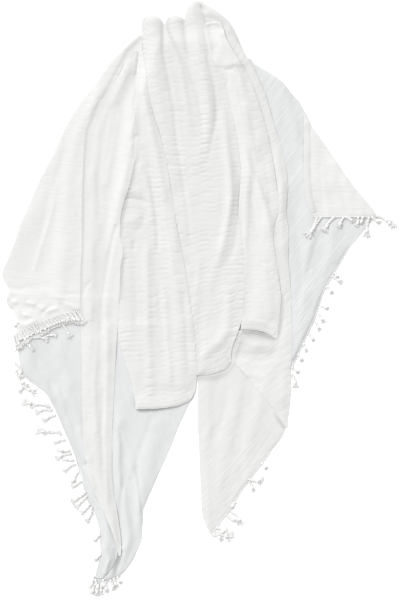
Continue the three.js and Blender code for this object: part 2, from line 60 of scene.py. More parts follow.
def smoothed(field, radius, passes=3):  # box blur
    reach = max(1, int(round(radius / raster["step"])))
    size = 2 * reach + 1
    for axis in (0, 1) * passes:
        pad = [(0, 0), (0, 0)]
        pad[axis] = (reach + 1, reach)
        sums = np.cumsum(np.pad(field, pad, mode="edge"), axis=axis)
        if axis == 0:
            field = (sums[size:, :] - sums[:-size, :]) / size
        else:
            field = (sums[:, size:] - sums[:, :-size]) / size
    return field


def blended(table, i, j, s, t):
    # between the four corners of a cell; the table repeats past its edges
    rows = [[table[(j + b) % table.shape[0], (i + a) % table.shape[1]] for a in (0, 1)] for b in (0, 1)]
    low, high = (row[0] * (1 - s) + row[1] * s for row in rows)
    return low * (1 - t) + high * t


def sampled(field, x, y):
    u = (np.asarray(x) + raster["halfWidth"]) / raster["step"]
    v = (np.asarray(y) + raster["halfLength"]) / raster["step"]
    u = np.clip(u, 0, field.shape[1] - 1.001)
    v = np.clip(v, 0, field.shape[0] - 1.001)
    i, j = u.astype(int), v.astype(int)
    return blended(field, i, j, u - i, v - j)


def noiseOver(x, y, sizeX, sizeY, seed):
    # smooth random values between -1 and 1, with patches of the given size
    table = np.random.RandomState(seed).uniform(-1, 1, (noiseCells, noiseCells))
    u, v = np.asarray(x) / sizeX + 1000.0, np.asarray(y) / sizeY + 1000.0
    i, j = np.floor(u).astype(int), np.floor(v).astype(int)
    return blended(table, i, j, eased(u - i), eased(v - j))


def column(rows, index, y):
    # rows run down from the highest y, and np.interp wants them rising
    flipped = rows[::-1]
    return np.interp(y, [r[0] for r in flipped], [r[index] for r in flipped])


def softColumn(rows, index, y, soften=columnBlur):
    # the same with its corners rounded
    fine = np.arange(rows[-1][0] - columnMargin, rows[0][0] + columnMargin + 1, 2.0)
    values = column(rows, index, fine)
    kernel = np.hanning(soften + 2)
    kernel /= kernel.sum()
    half = len(kernel) // 2
    values = np.convolve(np.pad(values, half, mode="edge"), kernel, mode="same")[half:-half]
    return np.interp(y, fine, values)


def ridges(folds, x, y):
    # folds are lists of (y, x, width, height); a negative height is a trough
    total = np.zeros_like(np.asarray(x, dtype=float))
    for sections in folds:
        middle, width, height = (softColumn(sections, k, y, ridgeBlur) for k in (1, 2, 3))
        past = np.maximum(np.maximum(y - sections[0][0], sections[-1][0] - y), 0)
        fade = np.clip(1 - past / ridgeFade, 0, 1) ** 2
        total += fade * height * np.exp(-(((x - middle) / width) ** 2))
    return total


def creases(lines, x, y):
    # lines are lists of (x, y, width, height) and may run any way
    total = np.zeros_like(np.asarray(x, dtype=float))
    for line in lines:
        strongest = np.zeros_like(total)
        for (x0, y0, w0, h0), (x1, y1, w1, h1) in zip(line, line[1:]):
            runX, runY = x1 - x0, y1 - y0
            share = ((x - x0) * runX + (y - y0) * runY) / (runX**2 + runY**2)
            share = np.clip(share, 0, 1)
            away = (x - x0 - share * runX) ** 2 + (y - y0 - share * runY) ** 2
            value = (h0 + share * (h1 - h0)) * np.exp(-away / (w0 + share * (w1 - w0)) ** 2)
            strongest = np.where(np.abs(value) > np.abs(strongest), value, strongest)
        total += strongest
    return total


def addNode(tree, kind, values, **settings):
    # values go to the node's inputs, by name or number; another node's output is linked
    node = tree.nodes.new("ShaderNode" + kind)
    for key, value in settings.items():
        setattr(node, key, value)
    for key, value in values.items():
        if isinstance(value, bpy.types.NodeSocket):
            tree.links.new(value, node.inputs[key])
        else:
            node.inputs[key].default_value = value
    return node


weaveSettings = dict(
    swayScale=9.0, swayDetail=2.0, sway=(0.006, 0.010, 0.0),  # slow wander of the threads
    alongThread=0.045, acrossThread=0.05, alongShare=0.22,
    longStreaks=(22.0, 150.0, 1.0), longShift=3.7, shortStreaks=(70.0, 330.0, 1.0), shortShift=8.1,
    shortShare=0.5, streakDetail=3.0, streakRoughness=0.6, dipFrom=0.66, dipTo=0.52,
    fineScale=620.0, fineDetail=1.0, fineRise=0.25, threadRise=0.5, crepeRise=0.6,
)


def gauzeWeave(s):
    # puckered gauze with a windowpane of heavier threads and a mask of painted shade in the pucker troughs,
    # on the cloth's own coordinates in metres
    tree = bpy.data.node_groups.new("gauzeWeave", "ShaderNodeTree")
    for label in ("Cloth", "Pane", "Pucker", "Strand"):
        kind = "NodeSocketVector" if label == "Cloth" else "NodeSocketFloat"
        tree.interface.new_socket(name=label, in_out="INPUT", socket_type=kind)
    for label in ("Threads", "PuckerShade", "Height"):
        tree.interface.new_socket(name=label, in_out="OUTPUT", socket_type="NodeSocketFloat")
    given = tree.nodes.new("NodeGroupInput").outputs

    def maths(operation, *values):
        return addNode(tree, "Math", dict(enumerate(values)), operation=operation).outputs[0]

    def ramp(value, start, end):
        values = {"Value": value, "From Min": start, "From Max": end}
        return addNode(tree, "MapRange", values, interpolation_type="SMOOTHSTEP").outputs[0]

    def noise(place, scale, detail, roughness=0.5):
        values = {"Vector": place, "Scale": scale, "Detail": detail, "Roughness": roughness}
        return addNode(tree, "TexNoise", values).outputs

    def threadLines(coordinate, halfWidth):
        return ramp(maths("PINGPONG", maths("DIVIDE", coordinate, given["Pane"]), 0.5), halfWidth, 0.0)

    def streaks(scale, shift):
        values = {"Vector": shifted, "Location": (shift, shift, 0), "Scale": scale}
        mapped = addNode(tree, "Mapping", values).outputs[0]
        return noise(mapped, 1.0, s["streakDetail"], s["streakRoughness"])["Fac"]

    sway = noise(given["Cloth"], s["swayScale"], s["swayDetail"])["Color"]
    shifted = addNode(tree, "VectorMath", {0: sway, 1: s["sway"], 2: given["Cloth"]},
                      operation="MULTIPLY_ADD").outputs[0]
    axes = addNode(tree, "SeparateXYZ", {0: shifted}).outputs
    along = maths("MULTIPLY", threadLines(axes["X"], s["alongThread"]), s["alongShare"])
    across = threadLines(axes["Y"], s["acrossThread"])
    threads = maths("MULTIPLY", maths("MAXIMUM", along, across), given["Strand"])
    short = maths("MULTIPLY", streaks(s["shortStreaks"], s["shortShift"]), s["shortShare"])
    both = maths("ADD", streaks(s["longStreaks"], s["longShift"]), short)
    # painted shade: this mask darkens the colour in the troughs of the puckers
    puckers = maths("MULTIPLY", ramp(both, s["dipFrom"], s["dipTo"]), given["Pucker"])
    fine = maths("MULTIPLY", noise(given["Cloth"], s["fineScale"], s["fineDetail"])["Fac"], s["fineRise"])
    raised = maths("MULTIPLY_ADD", threads, s["threadRise"], fine)
    crepe = maths("MULTIPLY", both, maths("MULTIPLY", given["Pucker"], s["crepeRise"]))
    put = tree.nodes.new("NodeGroupOutput").inputs
    for label, value in (("Threads", threads), ("PuckerShade", puckers), ("Height", maths("ADD", raised, crepe))):
        tree.links.new(value, put[label])
    return tree


def newMaterial(name, s):
    material = bpy.data.materials.new(name)
    material.use_nodes = True
    tree = material.node_tree
    inputs = tree.nodes["Principled BSDF"].inputs
    inputs["Roughness"].default_value = s["roughness"]
    inputs["Sheen Weight"].default_value = s["sheen"]
    inputs["Specular IOR Level"].default_value = s["specular"]
    return material, tree


def mixed(tree, share, first, second):
    return addNode(tree, "Mix", {0: share, 6: first, 7: second}, data_type="RGBA").outputs[2]


def coated(tree, colour, height, s):
    inputs = tree.nodes["Principled BSDF"].inputs
    raised = addNode(tree, "Bump", {"Strength": s["bump"], "Distance": s["bumpDepth"], "Height": height})
    tree.links.new(colour, inputs["Base Color"])
    tree.links.new(raised.outputs["Normal"], inputs["Normal"])


def clothMaterial(name, s):
    material, tree = newMaterial(name, s)
    place = addNode(tree, "UVMap", {}, uv_map="cloth").outputs["UV"]
    weave = tree.nodes.new("ShaderNodeGroup")
    weave.node_tree = weaveGroup
    for label in ("Pane", "Pucker", "Strand"):
        weave.inputs[label].default_value = s[label.lower()]
    tree.links.new(place, weave.inputs["Cloth"])
    tone = addNode(tree, "Attribute", {}, attribute_name="tone").outputs["Fac"]
    thread = mixed(tree, weave.outputs["Threads"], (*s["colour"], 1), (*s["threadColour"], 1))
    # painted shade: the colour goes darker in the pucker troughs
    puckerShaded = mixed(tree, weave.outputs["PuckerShade"], thread, (*s["dipShadeColour"], 1))
    # the tone attribute scales the colour; it carries the painted shade of the shades and shadeLines
    toned = addNode(tree, "VectorMath", {0: puckerShaded, "Scale": tone}, operation="SCALE").outputs[0]
    coated(tree, toned, weave.outputs["Height"], s)
    return material


def yarnMaterial(name, s):
    material, tree = newMaterial(name, s)
    place = addNode(tree, "TexCoord", {}).outputs["Object"]
    fibres = addNode(tree, "TexNoise", {"Vector": place, "Scale": s["fibres"], "Detail": 2.0}).outputs["Fac"]
    coated(tree, mixed(tree, fibres, (*s["shadeColour"], 1), (*s["colour"], 1)), fibres, s)
    return material


print("finishes")
weaveGroup = gauzeWeave(weaveSettings)
# dipShadeColour is painted shade, the darker colour the cloth takes in its pucker troughs
gauzeFinish = dict(
    colour=(0.600, 0.600, 0.591), threadColour=(0.625, 0.625, 0.616), dipShadeColour=(0.575, 0.577, 0.572),
    roughness=0.85, sheen=0.1, specular=0.2, pane=0.042, pucker=1.0, strand=0.06, bump=0.6, bumpDepth=0.0010,
)
shadeFinish = {
    **gauzeFinish, "colour": (0.580, 0.585, 0.588), "threadColour": (0.650, 0.655, 0.655),
    "dipShadeColour": (0.555, 0.561, 0.566), "pane": 0.038,
}
yarnFinish = dict(
    colour=(0.70, 0.70, 0.692), shadeColour=(0.66, 0.66, 0.653), roughness=0.9, sheen=0.3, specular=0.2,
    fibres=420.0, bump=0.25, bumpDepth=0.0004,
)
gauze = clothMaterial("gauze", gauzeFinish)
gauzeWindow = clothMaterial("gauzeWindow", {**gauzeFinish, "strand": 0.55})
gauzeShade = clothMaterial("gauzeShade", {**shadeFinish, "strand": 0.8})
gauzeSoft = clothMaterial("gauzeSoft", {**shadeFinish, "strand": 0.28})
hemFinish = {**gauzeFinish, "colour": (0.590, 0.590, 0.582), "pucker": 0.5, "pane": 0.2}
hemCloth = clothMaterial("hemCloth", hemFinish)
yarn = yarnMaterial("yarn", yarnFinish)


def outlineFields(piece, x, y):
    left, right = (softColumn(piece["sides"], k, y) for k in (1, 2))
    crest = np.full_like(x, piece["sides"][0][0])
    foot = np.full_like(x, piece["sides"][-1][0])
    if "crest" in piece:
        crest = np.interp(x, *zip(*piece["crest"]))
    if "foot" in piece:
        foot = np.interp(x, *zip(*piece["foot"]))
    return left, right, crest, foot


def coverage(piece, grow=None):
    # true where the stretch lies; grow moves single sides outwards
    grow = grow or {}
    left, right, crest, foot = outlineFields(piece, gridX, gridY)
    return (
        (gridX > left - grow.get("left", 0)) & (gridX < right + grow.get("right", 0))
        & (gridY < crest + grow.get("crest", 0)) & (gridY > foot - grow.get("foot", 0))
    )


def clothCoordinates(piece, x, y):
    # the weave's own axes, turned to the lie of the stretch; turns gives the lie at several heights
    if "turns" in piece:
        lie = np.radians(np.interp(-y, [-t[0] for t in piece["turns"]], [t[1] for t in piece["turns"]]))
        return x, y - np.tan(lie) * (x - piece["turnAbout"])
    lie = math.radians(piece["lie"])
    return x * math.cos(lie) + y * math.sin(lie), -x * math.sin(lie) + y * math.cos(lie)


# dashes: (share of the pitch, column width, seed shift, share of the depth)
# grain: (size across, size along, seed shift, share of the depth)
puckerSettings = dict(
    pitch=12.5, columns=1024, wander=7,
    dashes=[(2, 33, 0, 1.3), (0.97, 26, 20, 1.1)], grain=[(10, 4.5, 3, 0.16), (6, 40, 6, 0.14)],
    step=0.5, bow=1.1, drift=0.25, base=0.15, window=1.5, patches=(0.55, 0.9), strength=(0.85, 0.35),
)


def puckerHeight(piece, x, y):
    # short uneven troughs along the weft, in columns that are out of step with one another
    s = puckerSettings
    u, v = clothCoordinates(piece, x, y)
    depth, seed = piece["puckers"], piece["seed"]

    def dashes(pitch, columnWidth, seed):
        along = (u + s["wander"] * noiseOver(u, v, 90, 130, seed)) / columnWidth + 500
        number = np.floor(along).astype(int)
        within = along - number - 0.5
        chance = np.random.RandomState(seed + 9).uniform(-1, 1, (3, s["columns"]))[:, number % s["columns"]]
        shift = pitch * (s["step"] * chance[0] + s["bow"] * chance[1] * within**2)
        shift += s["drift"] * pitch * noiseOver(u, v, 40, 60, seed + 1)
        trough = np.clip(np.cos(2 * np.pi * (v + shift) / pitch), 0, 1) ** 3 - s["base"]
        window = np.clip(s["window"] * np.cos(np.pi * within), 0, 1)
        least, spread = s["patches"]
        patches = np.clip(least + spread * noiseOver(u, v, columnWidth, 1.6 * pitch, seed + 2), 0.05, 1.25)
        least, spread = s["strength"]
        return trough * window * patches * (least + spread * chance[2])

    pitch = piece.get("puckerPitch", s["pitch"])
    height = -depth * sum(share * dashes(part * pitch, width, seed + shift)
                          for part, width, shift, share in s["dashes"])
    for across, along, shift, share in s["grain"]:
        height += share * depth * noiseOver(u, v, across, along, seed + shift)
    return height


clothSettings = dict(
    wall=0.8, gap=0.4, clear=0.1,  # thickness, and the distance from the cloth and the floor below
    relief=0.66,  # share of the drawn folds
    waves=[(34, 60, 2, 1.0), (15, 26, 7, 0.5)],  # size across, size along, seed shift, share of the swell
    swell=0.8, toneWaves=0.010,
    soft=(7, 3), settle=1.9,  # blurs of what lies below and of the stretch itself
    layersFrom=8, layersNear=0.3, sink=1.6,  # where the covered layers give way, and how far
    rollWidth=6, hidden=60,  # a rolled side, and how far a covered one runs on
    tuckDepth=3, tuckFade=20,
    cells=(4.0, 2.4), bend=130,  # mesh, and the reach of a shaped crest or foot in it
)


def tucked(piece, top):
    # where a stretch runs in under its neighbour, its edge dips below it. tuck: (y, x, width)
    if "tuck" not in piece:
        return top
    rows = piece["tuck"]
    share = np.clip((gridX - column(rows, 1, gridY)) / column(rows, 2, gridY) + 1, 0, 1)
    past = np.maximum(gridY - rows[0][0], rows[-1][0] - gridY)
    share = eased(share) * np.clip(1 - past / clothSettings["tuckFade"], 0, 1)
    return top * (1 - share) + (pile - clothSettings["tuckDepth"]) * share


def layCloth(piece):
    global pile
    s = clothSettings
    mask = coverage(piece)
    covered = [side for side in ("left", "right", "crest", "foot") if side not in piece["rolled"]]
    wide = coverage(piece, dict.fromkeys(covered, s["hidden"])).astype(float)
    q = np.clip((smoothed(wide, piece.get("rollWidth", s["rollWidth"]), 2) - 0.5) * 2, 0, 1)
    drop = piece["rollHeight"] * (1 - np.sqrt(1 - (1 - q) ** 2))
    bed = pile
    for blur in s["soft"]:
        bed = np.maximum(smoothed(bed, blur), pile)
    relief = ridges(piece["folds"], gridX, gridY) + creases(piece["creases"], gridX, gridY)
    relief *= s["relief"]
    swell = piece.get("swell", s["swell"])
    for across, along, shift, share in s["waves"]:
        relief += share * swell * noiseOver(gridX, gridY, across, along, piece["seed"] + shift)
    top = bed + s["wall"] + piece["puff"] + relief - drop
    gaps = piece.get("gaps", [(0, s["gap"])])
    onCloth = smoothed(pile, 2, 1) + s["wall"] + column(gaps, 1, gridY)
    onLayers = coveredTop - s["sink"]  # the covered layers give way below a crease
    soft = (coveredTop > s["layersFrom"]) & (pile < coveredTop + s["layersNear"])
    top = np.maximum(top, np.where(soft, onLayers, onCloth))
    top = tucked(piece, smoothed(top, s["settle"], 1))
    pile = np.where(mask, np.maximum(pile, top), pile)
    print("laid", piece["node"], "highest", round(float(top[mask].max()), 1))
    sheetFrom(piece, top)


def sheetFrom(piece, top):
    s, sides = clothSettings, piece["sides"]
    highest = max(p[1] for p in piece["crest"]) if "crest" in piece else sides[0][0]
    lowest = min(p[1] for p in piece["foot"]) if "foot" in piece else sides[-1][0]
    widest = max(r[2] - r[1] for r in sides)
    cellX, cellY = piece.get("cells", s["cells"])
    columns, rows = int(widest / cellX), int((highest - lowest) / cellY)
    bm = bmesh.new()
    bmesh.ops.create_grid(bm, x_segments=columns, y_segments=rows, size=1.0)
    cutEdges(bm)
    mesh = bpy.data.meshes.new(piece["name"])
    bm.to_mesh(mesh)
    bm.free()
    flat = np.empty(len(mesh.vertices) * 3)
    mesh.vertices.foreach_get("co", flat)
    across, along = flat[0::3] * 0.5 + 0.5, flat[1::3] * 0.5 + 0.5
    row = lowest + along * (highest - lowest)
    left, right, _, _ = outlineFields(piece, row, row)
    x = left + across * (right - left)
    _, _, crest, foot = outlineFields(piece, x, row)
    nearCrest = np.clip(1 - (highest - row) / s["bend"], 0, 1)
    nearFoot = np.clip(1 - (row - lowest) / s["bend"], 0, 1)
    y = row + (crest - highest) * nearCrest + (foot - lowest) * nearFoot
    z = sampled(top, x, y) + puckerHeight(piece, x, y)
    z = np.maximum(z, s["wall"] + s["clear"])  # no lower than the floor
    places = np.stack([x + drawingShift.x, y + drawingShift.y, z], axis=1) * mm
    mesh.vertices.foreach_set("co", places.ravel())
    mesh.polygons.foreach_set("use_smooth", [True] * len(mesh.polygons))
    corners = np.empty(len(mesh.loops), dtype=np.int32)
    mesh.loops.foreach_get("vertex_index", corners)
    uvs = mesh.uv_layers.new(name="cloth")
    uvs.data.foreach_set("uv", (np.stack(clothCoordinates(piece, x, y), axis=1)[corners] * mm).ravel())
    tones = mesh.attributes.new("tone", "FLOAT", "POINT")
    tones.data.foreach_set("value", toneWithPaintedShade(piece, x, y))
    mesh.update()
    obj = shown(mesh, piece.get("cloth", gauze))
    thicken(obj, s["wall"])
    dress(obj, piece["node"])


def toneWithPaintedShade(piece, x, y):
    tone = np.full_like(x, piece.get("tone", 1.0))
    tone += clothSettings["toneWaves"] * noiseOver(x, y, 50, 80, piece["seed"] + 5)
    # painted shade: the shades and shadeLines darken the colour beside edges, under hems and in creases
    tone += ridges(piece.get("shades", []), x, y)
    tone += creases(piece["shadeLines"], x, y)
    return tone


def shown(mesh, material):
    mesh.materials.append(material)
    obj = bpy.data.objects.new(mesh.name, mesh)
    bpy.context.scene.collection.objects.link(obj)
    return obj


def placed(bm, name, material):
    # millimetres on the drawing become metres in the frame
    bmesh.ops.translate(bm, vec=drawingShift, verts=bm.verts)
    bmesh.ops.scale(bm, vec=(mm, mm, mm), verts=bm.verts)
    mesh = bpy.data.meshes.new(name)
    bm.to_mesh(mesh)
    bm.free()
    return shown(mesh, material)


def cutEdges(bm):  # a cut edge is sharp, not rounded
    for edge in bm.edges:
        edge.smooth = not edge.is_boundary


def thicken(obj, thickness):
    wall = obj.modifiers.new("wall", "SOLIDIFY")
    wall.thickness = thickness * mm
    wall.offset = -1


def coordinates(bm, tone):
    # the weave on a plain piece runs along the drawing's own axes
    uvLayer = bm.loops.layers.uv.new("cloth")
    toneLayer = bm.verts.layers.float.new("tone")
    for vert in bm.verts:
        vert[toneLayer] = tone
        for loop in vert.link_loops:
            loop[uvLayer].uv = (vert.co.x * mm, vert.co.y * mm)


def dress(obj, node=None):
    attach(obj, "root")
    if node:
        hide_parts(node)


# the stretches, from the floor up. sides: (y, left, right). folds: (y, x, width, height) down each fold.
# creases and shadeLines: (x, y, width, height or shade) along each line. A crease is raised or sunk in the
# cloth; a shadeLine is painted shade, darker colour beside edges, under hems and tassels and in creases and
# hollows. shades: (y, x, width, shade) down each band, painted shade as well.

hiddenLayers = dict(
    node="hidden_folds", name="hiddenLayers", tone=0.95, cells=(60, 120),
    rim=2.5, slope=45, layers=4, lowered=0.8, sunk=0.4,
    sides=[
        (672, -124, 74), (640, -134, 92), (598, -144, 112), (472, -189, 156), (322, -214, 186),
        (122, -224, 201), (-52, -214, 181), (-128, -199, 71), (-215, -154, -29)],
    heights=[(672, 10), (560, 16), (400, 13), (122, 8), (-215, 3)],
)


def layHidden(piece):
    # covered layers of the fold, as one rounded form with its layers stepping in at the edge
    global pile, coveredTop
    mask = coverage(piece)
    inside = np.clip(smoothed(mask.astype(float), piece["slope"] / 2, 3) * 2 - 1, 0, 1)
    full = column(piece["heights"], 1, gridY)
    rise = eased(inside)
    level = rise * piece["layers"]
    stepped = (np.floor(level) + np.clip(level % 1 * 3, 0, 1)) / piece["layers"]
    top = piece["rim"] + (0.5 * rise + 0.5 * stepped) * (full - piece["rim"])
    top = smoothed(top, 2, 1)
    pile = np.where(mask, np.maximum(pile, top), pile)
    coveredTop = pile.copy()
    bm = bmesh.new()
    bmesh.ops.create_grid(bm, x_segments=piece["cells"][0], y_segments=piece["cells"][1], size=1.0)
    shares = np.array([(v.co.x * 0.5 + 0.5, v.co.y * 0.5 + 0.5) for v in bm.verts])
    y = piece["sides"][-1][0] + shares[:, 1] * (piece["sides"][0][0] - piece["sides"][-1][0])
    left, right, _, _ = outlineFields(piece, y, y)
    x = left + shares[:, 0] * (right - left)
    z = piece["lowered"] * sampled(top, x, y) - piece["sunk"]
    for vert, px, py, pz in zip(bm.verts, x, y, z):
        vert.co = (px, py, pz)
    rim = [edge for edge in bm.edges if edge.is_boundary]
    skirt = bmesh.ops.extrude_edge_only(bm, edges=rim)["geom"]
    for vert in (g for g in skirt if isinstance(g, bmesh.types.BMVert)):
        vert.co.z = 0
    bmesh.ops.holes_fill(bm, edges=[edge for edge in bm.edges if edge.is_boundary], sides=0)
    bmesh.ops.recalc_face_normals(bm, faces=bm.faces)
    coordinates(bm, piece["tone"])
    for face in bm.faces:
        face.smooth = abs(face.normal.z) > 0.3
    dress(placed(bm, piece["name"], gauze), piece["node"])
    print("laid", piece["node"])


layHidden(hiddenLayers)

rightBack = dict(
    node="right_back", name="rightBack", seed=11, lie=53, cloth=gauzeShade, tone=0.985, puckers=0.42,
    puckerPitch=9, rolled=("right",), rollHeight=1.5, puff=1.0, swell=1.4, cut=(0.33, 0.80, 0.135),
    sides=[
        (600, 96, 128), (588, 96, 134), (557, 98, 189), (535, 101, 214), (517, 105, 227), (492, 111, 250),
        (455, 120, 270), (430, 126, 281), (368, 134, 326), (328, 141, 351), (260, 146, 401),
        (215, 151, 440), (205, 153, 441), (185, 156, 421), (160, 156, 401), (135, 156, 376), (92, 159, 351),
        (48, 163, 326), (18, 166, 309), (-2, 170, 301), (-52, 176, 286), (-108, 186, 259), (-152, 200, 239),
        (-172, 206, 231)],
    folds=[
        [(372, 264, 15, 3), (172, 281, 20, 5), (48, 266, 18, 5), (-78, 251, 15, 3)],
        [(560, 190, 14, 4), (480, 225, 14, 4), (400, 245, 12, 2)],
        [(170, 330, 16, 3), (100, 322, 16, 4), (30, 294, 14, 3)]],
    creases=[
        [(241, 148, 7, -2), (251, 98, 8, -3.5), (254, 35, 8, -3), (244, -15, 7, -1)],
        [(300, 160, 7, -2), (280, 100, 8, -3), (262, 30, 7, -2)]],
    shadeLines=[
        [(241, 148, 10, -0.01), (251, 98, 10, -0.03), (254, 35, 10, -0.03), (244, -15, 9, -0.01)],
        [(226, 260, 14, -0.035), (228, 205, 14, -0.035), (232, 120, 12, -0.02)],
        [(398, 156, 5, -0.08), (371, 128, 5, -0.14), (346, 88, 5, -0.14), (321, 44, 5, -0.15),
         (296, -8, 5, -0.16), (280, -58, 5, -0.17), (254, -110, 5, -0.2), (235, -152, 5, -0.24)]],
)
rightLower = dict(
    node="right_lower", name="rightLower", seed=12, lie=47, cloth=gauzeWindow, puckers=0.38, puckerPitch=11,
    rolled=("left", "right"), rollHeight=1.4, puff=1.0, swell=1.1, cut=(0.22, 0.52, 0.088),
    sides=[
        (-78, 16, 211), (-202, -4, 209), (-328, -4, 214), (-352, -2, 201), (-382, -1, 176), (-432, 1, 139),
        (-482, 4, 101), (-528, 5, 76), (-550, 9, 56), (-578, 21, 39), (-590, 29, 34)],
    folds=[
        [(-190, 84, 22, 2), (-240, 88, 22, 4), (-302, 80, 20, 4), (-402, 60, 20, 3), (-528, 39, 15, 3)],
        [(-215, 156, 18, 3), (-278, 146, 18, 4), (-378, 116, 16, 3)],
        [(-215, 18, 14, 3), (-330, 22, 14, 3), (-402, 16, 12, 3), (-560, 24, 9, 3)]],
    creases=[
        [(66, -227, 9, -1), (62, -265, 10, -2), (52, -302, 10, -3), (36, -340, 10, -3), (22, -380, 10, -2),
         (14, -430, 10, -1)],
        [(120, -202, 9, -1), (112, -240, 9, -2), (104, -300, 9, -2.5), (96, -382, 10, -1.5)],
        [(176, -340, 3, -1), (140, -392, 3, -1.4), (100, -448, 3, -1)],
        [(164, -338, 3, -0.8), (128, -390, 3, -1.2), (92, -440, 3, -0.8)],
        [(148, -336, 3, -0.6), (112, -386, 3, -1), (80, -428, 3, -0.6)]],
    shadeLines=[
        [(66, -227, 9, -0.02), (54, -297, 9, -0.035), (36, -327, 9, -0.035), (20, -390, 10, -0.02)],
        [(126, -202, 8, -0.015), (113, -290, 8, -0.025), (106, -352, 8, -0.015)],
        [(166, -316, 12, -0.01), (172, -342, 13, -0.03), (160, -362, 12, -0.02)],
        [(188, -288, 4, -0.1), (200, -306, 4, -0.26), (212, -322, 4, -0.26)],
        [(-4, -199, 8, -0.14), (40, -197, 9, -0.19), (66, -186, 9, -0.18), (88, -160, 8, -0.08)],
        [(190, -366, 4, -0.04), (150, -418, 4, -0.05), (106, -474, 5, -0.08), (84, -504, 5, -0.08)]],
)
leftTail = dict(
    node="left_tail", name="leftTail", seed=13, lie=-64, cloth=gauzeSoft, tone=0.99, puckers=0.36,
    puckerPitch=9, rolled=("right",), rollHeight=1.4, puff=1.0, swell=1.2, cut=(0.23, 0.66, 0.102),
    sides=[
        (-60, -234, -40), (-182, -234, -19), (-245, -234, -12), (-257, -234, -24), (-282, -234, -36),
        (-322, -234, -54), (-378, -234, -76), (-428, -234, -99), (-472, -234, -119), (-510, -232, -136),
        (-528, -229, -142), (-602, -236, -145), (-640, -246, -161), (-660, -252, -172), (-688, -259, -192),
        (-702, -261, -222), (-716, -262, -256)],
    folds=[
        [(-302, -199, 12, 5), (-428, -204, 10, 6), (-500, -190, 10, 6), (-602, -175, 12, 8),
         (-678, -206, 12, 7)],
        [(-302, -99, 22, 4), (-402, -124, 18, 4), (-502, -151, 12, 5), (-560, -152, 9, 4)],
        [(-420, -170, 8, 3), (-470, -152, 7, 4), (-530, -150, 6, 3)]],
    creases=[
        [(-199, -327, 5, -3), (-192, -365, 5, -6), (-189, -440, 5, -6), (-196, -502, 5, -5),
         (-206, -560, 5, -5), (-196, -615, 5, -4)],
        [(-156, -422, 4, -4), (-152, -452, 4, -4), (-147, -505, 4, -4), (-142, -540, 5, -3)],
        [(-120, -300, 8, -2), (-150, -380, 8, -3), (-166, -450, 7, -2)],
        [(-196, -634, 8, -7), (-206, -660, 9, -9), (-212, -690, 7, -7)],
        [(-237, -660, 6, -3), (-217, -643, 5, -5), (-200, -628, 5, -3)]],
    shadeLines=[
        [(-192, -365, 6, -0.03), (-189, -440, 6, -0.045), (-196, -502, 6, -0.045), (-206, -560, 6, -0.04)],
        [(-196, -630, 5, -0.2), (-203, -650, 8, -0.42), (-210, -668, 7, -0.36), (-214, -688, 6, -0.25)],
        [(-250, -712, 6, -0.2), (-232, -705, 6, -0.3), (-214, -699, 6, -0.3), (-202, -694, 5, -0.12)]],
)
rightWing = dict(
    node="right_wing", name="rightWing", seed=14, lie=-3, cloth=gauzeWindow, tone=1.045, puckers=0.32,
    puckerPitch=11, rolled=("right",), rollHeight=1.5, puff=1.2, swell=1.1, cut=(0.18, 0.26, 0.024),
    sides=[
        (465, 259, 264), (430, 261, 281), (368, 261, 326), (298, 261, 372), (248, 266, 412),
        (218, 276, 439), (205, 286, 441)],
    folds=[
        [(398, 281, 13, 3), (298, 301, 16, 4), (218, 322, 15, 4)],
        [(330, 340, 12, 3), (260, 378, 14, 4), (212, 404, 13, 3)]],
    creases=[
        [(342, 330, 8, -2), (352, 270, 9, -4), (362, 222, 9, -4)],
        [(300, 330, 5, -1), (306, 260, 5, -2), (312, 215, 5, -1.5)]],
    shadeLines=[
        [(344, 325, 9, -0.02), (353, 270, 9, -0.045), (362, 225, 9, -0.04)],
        [(286, 209, 5, -0.03), (440, 208, 5, -0.05)]],
)
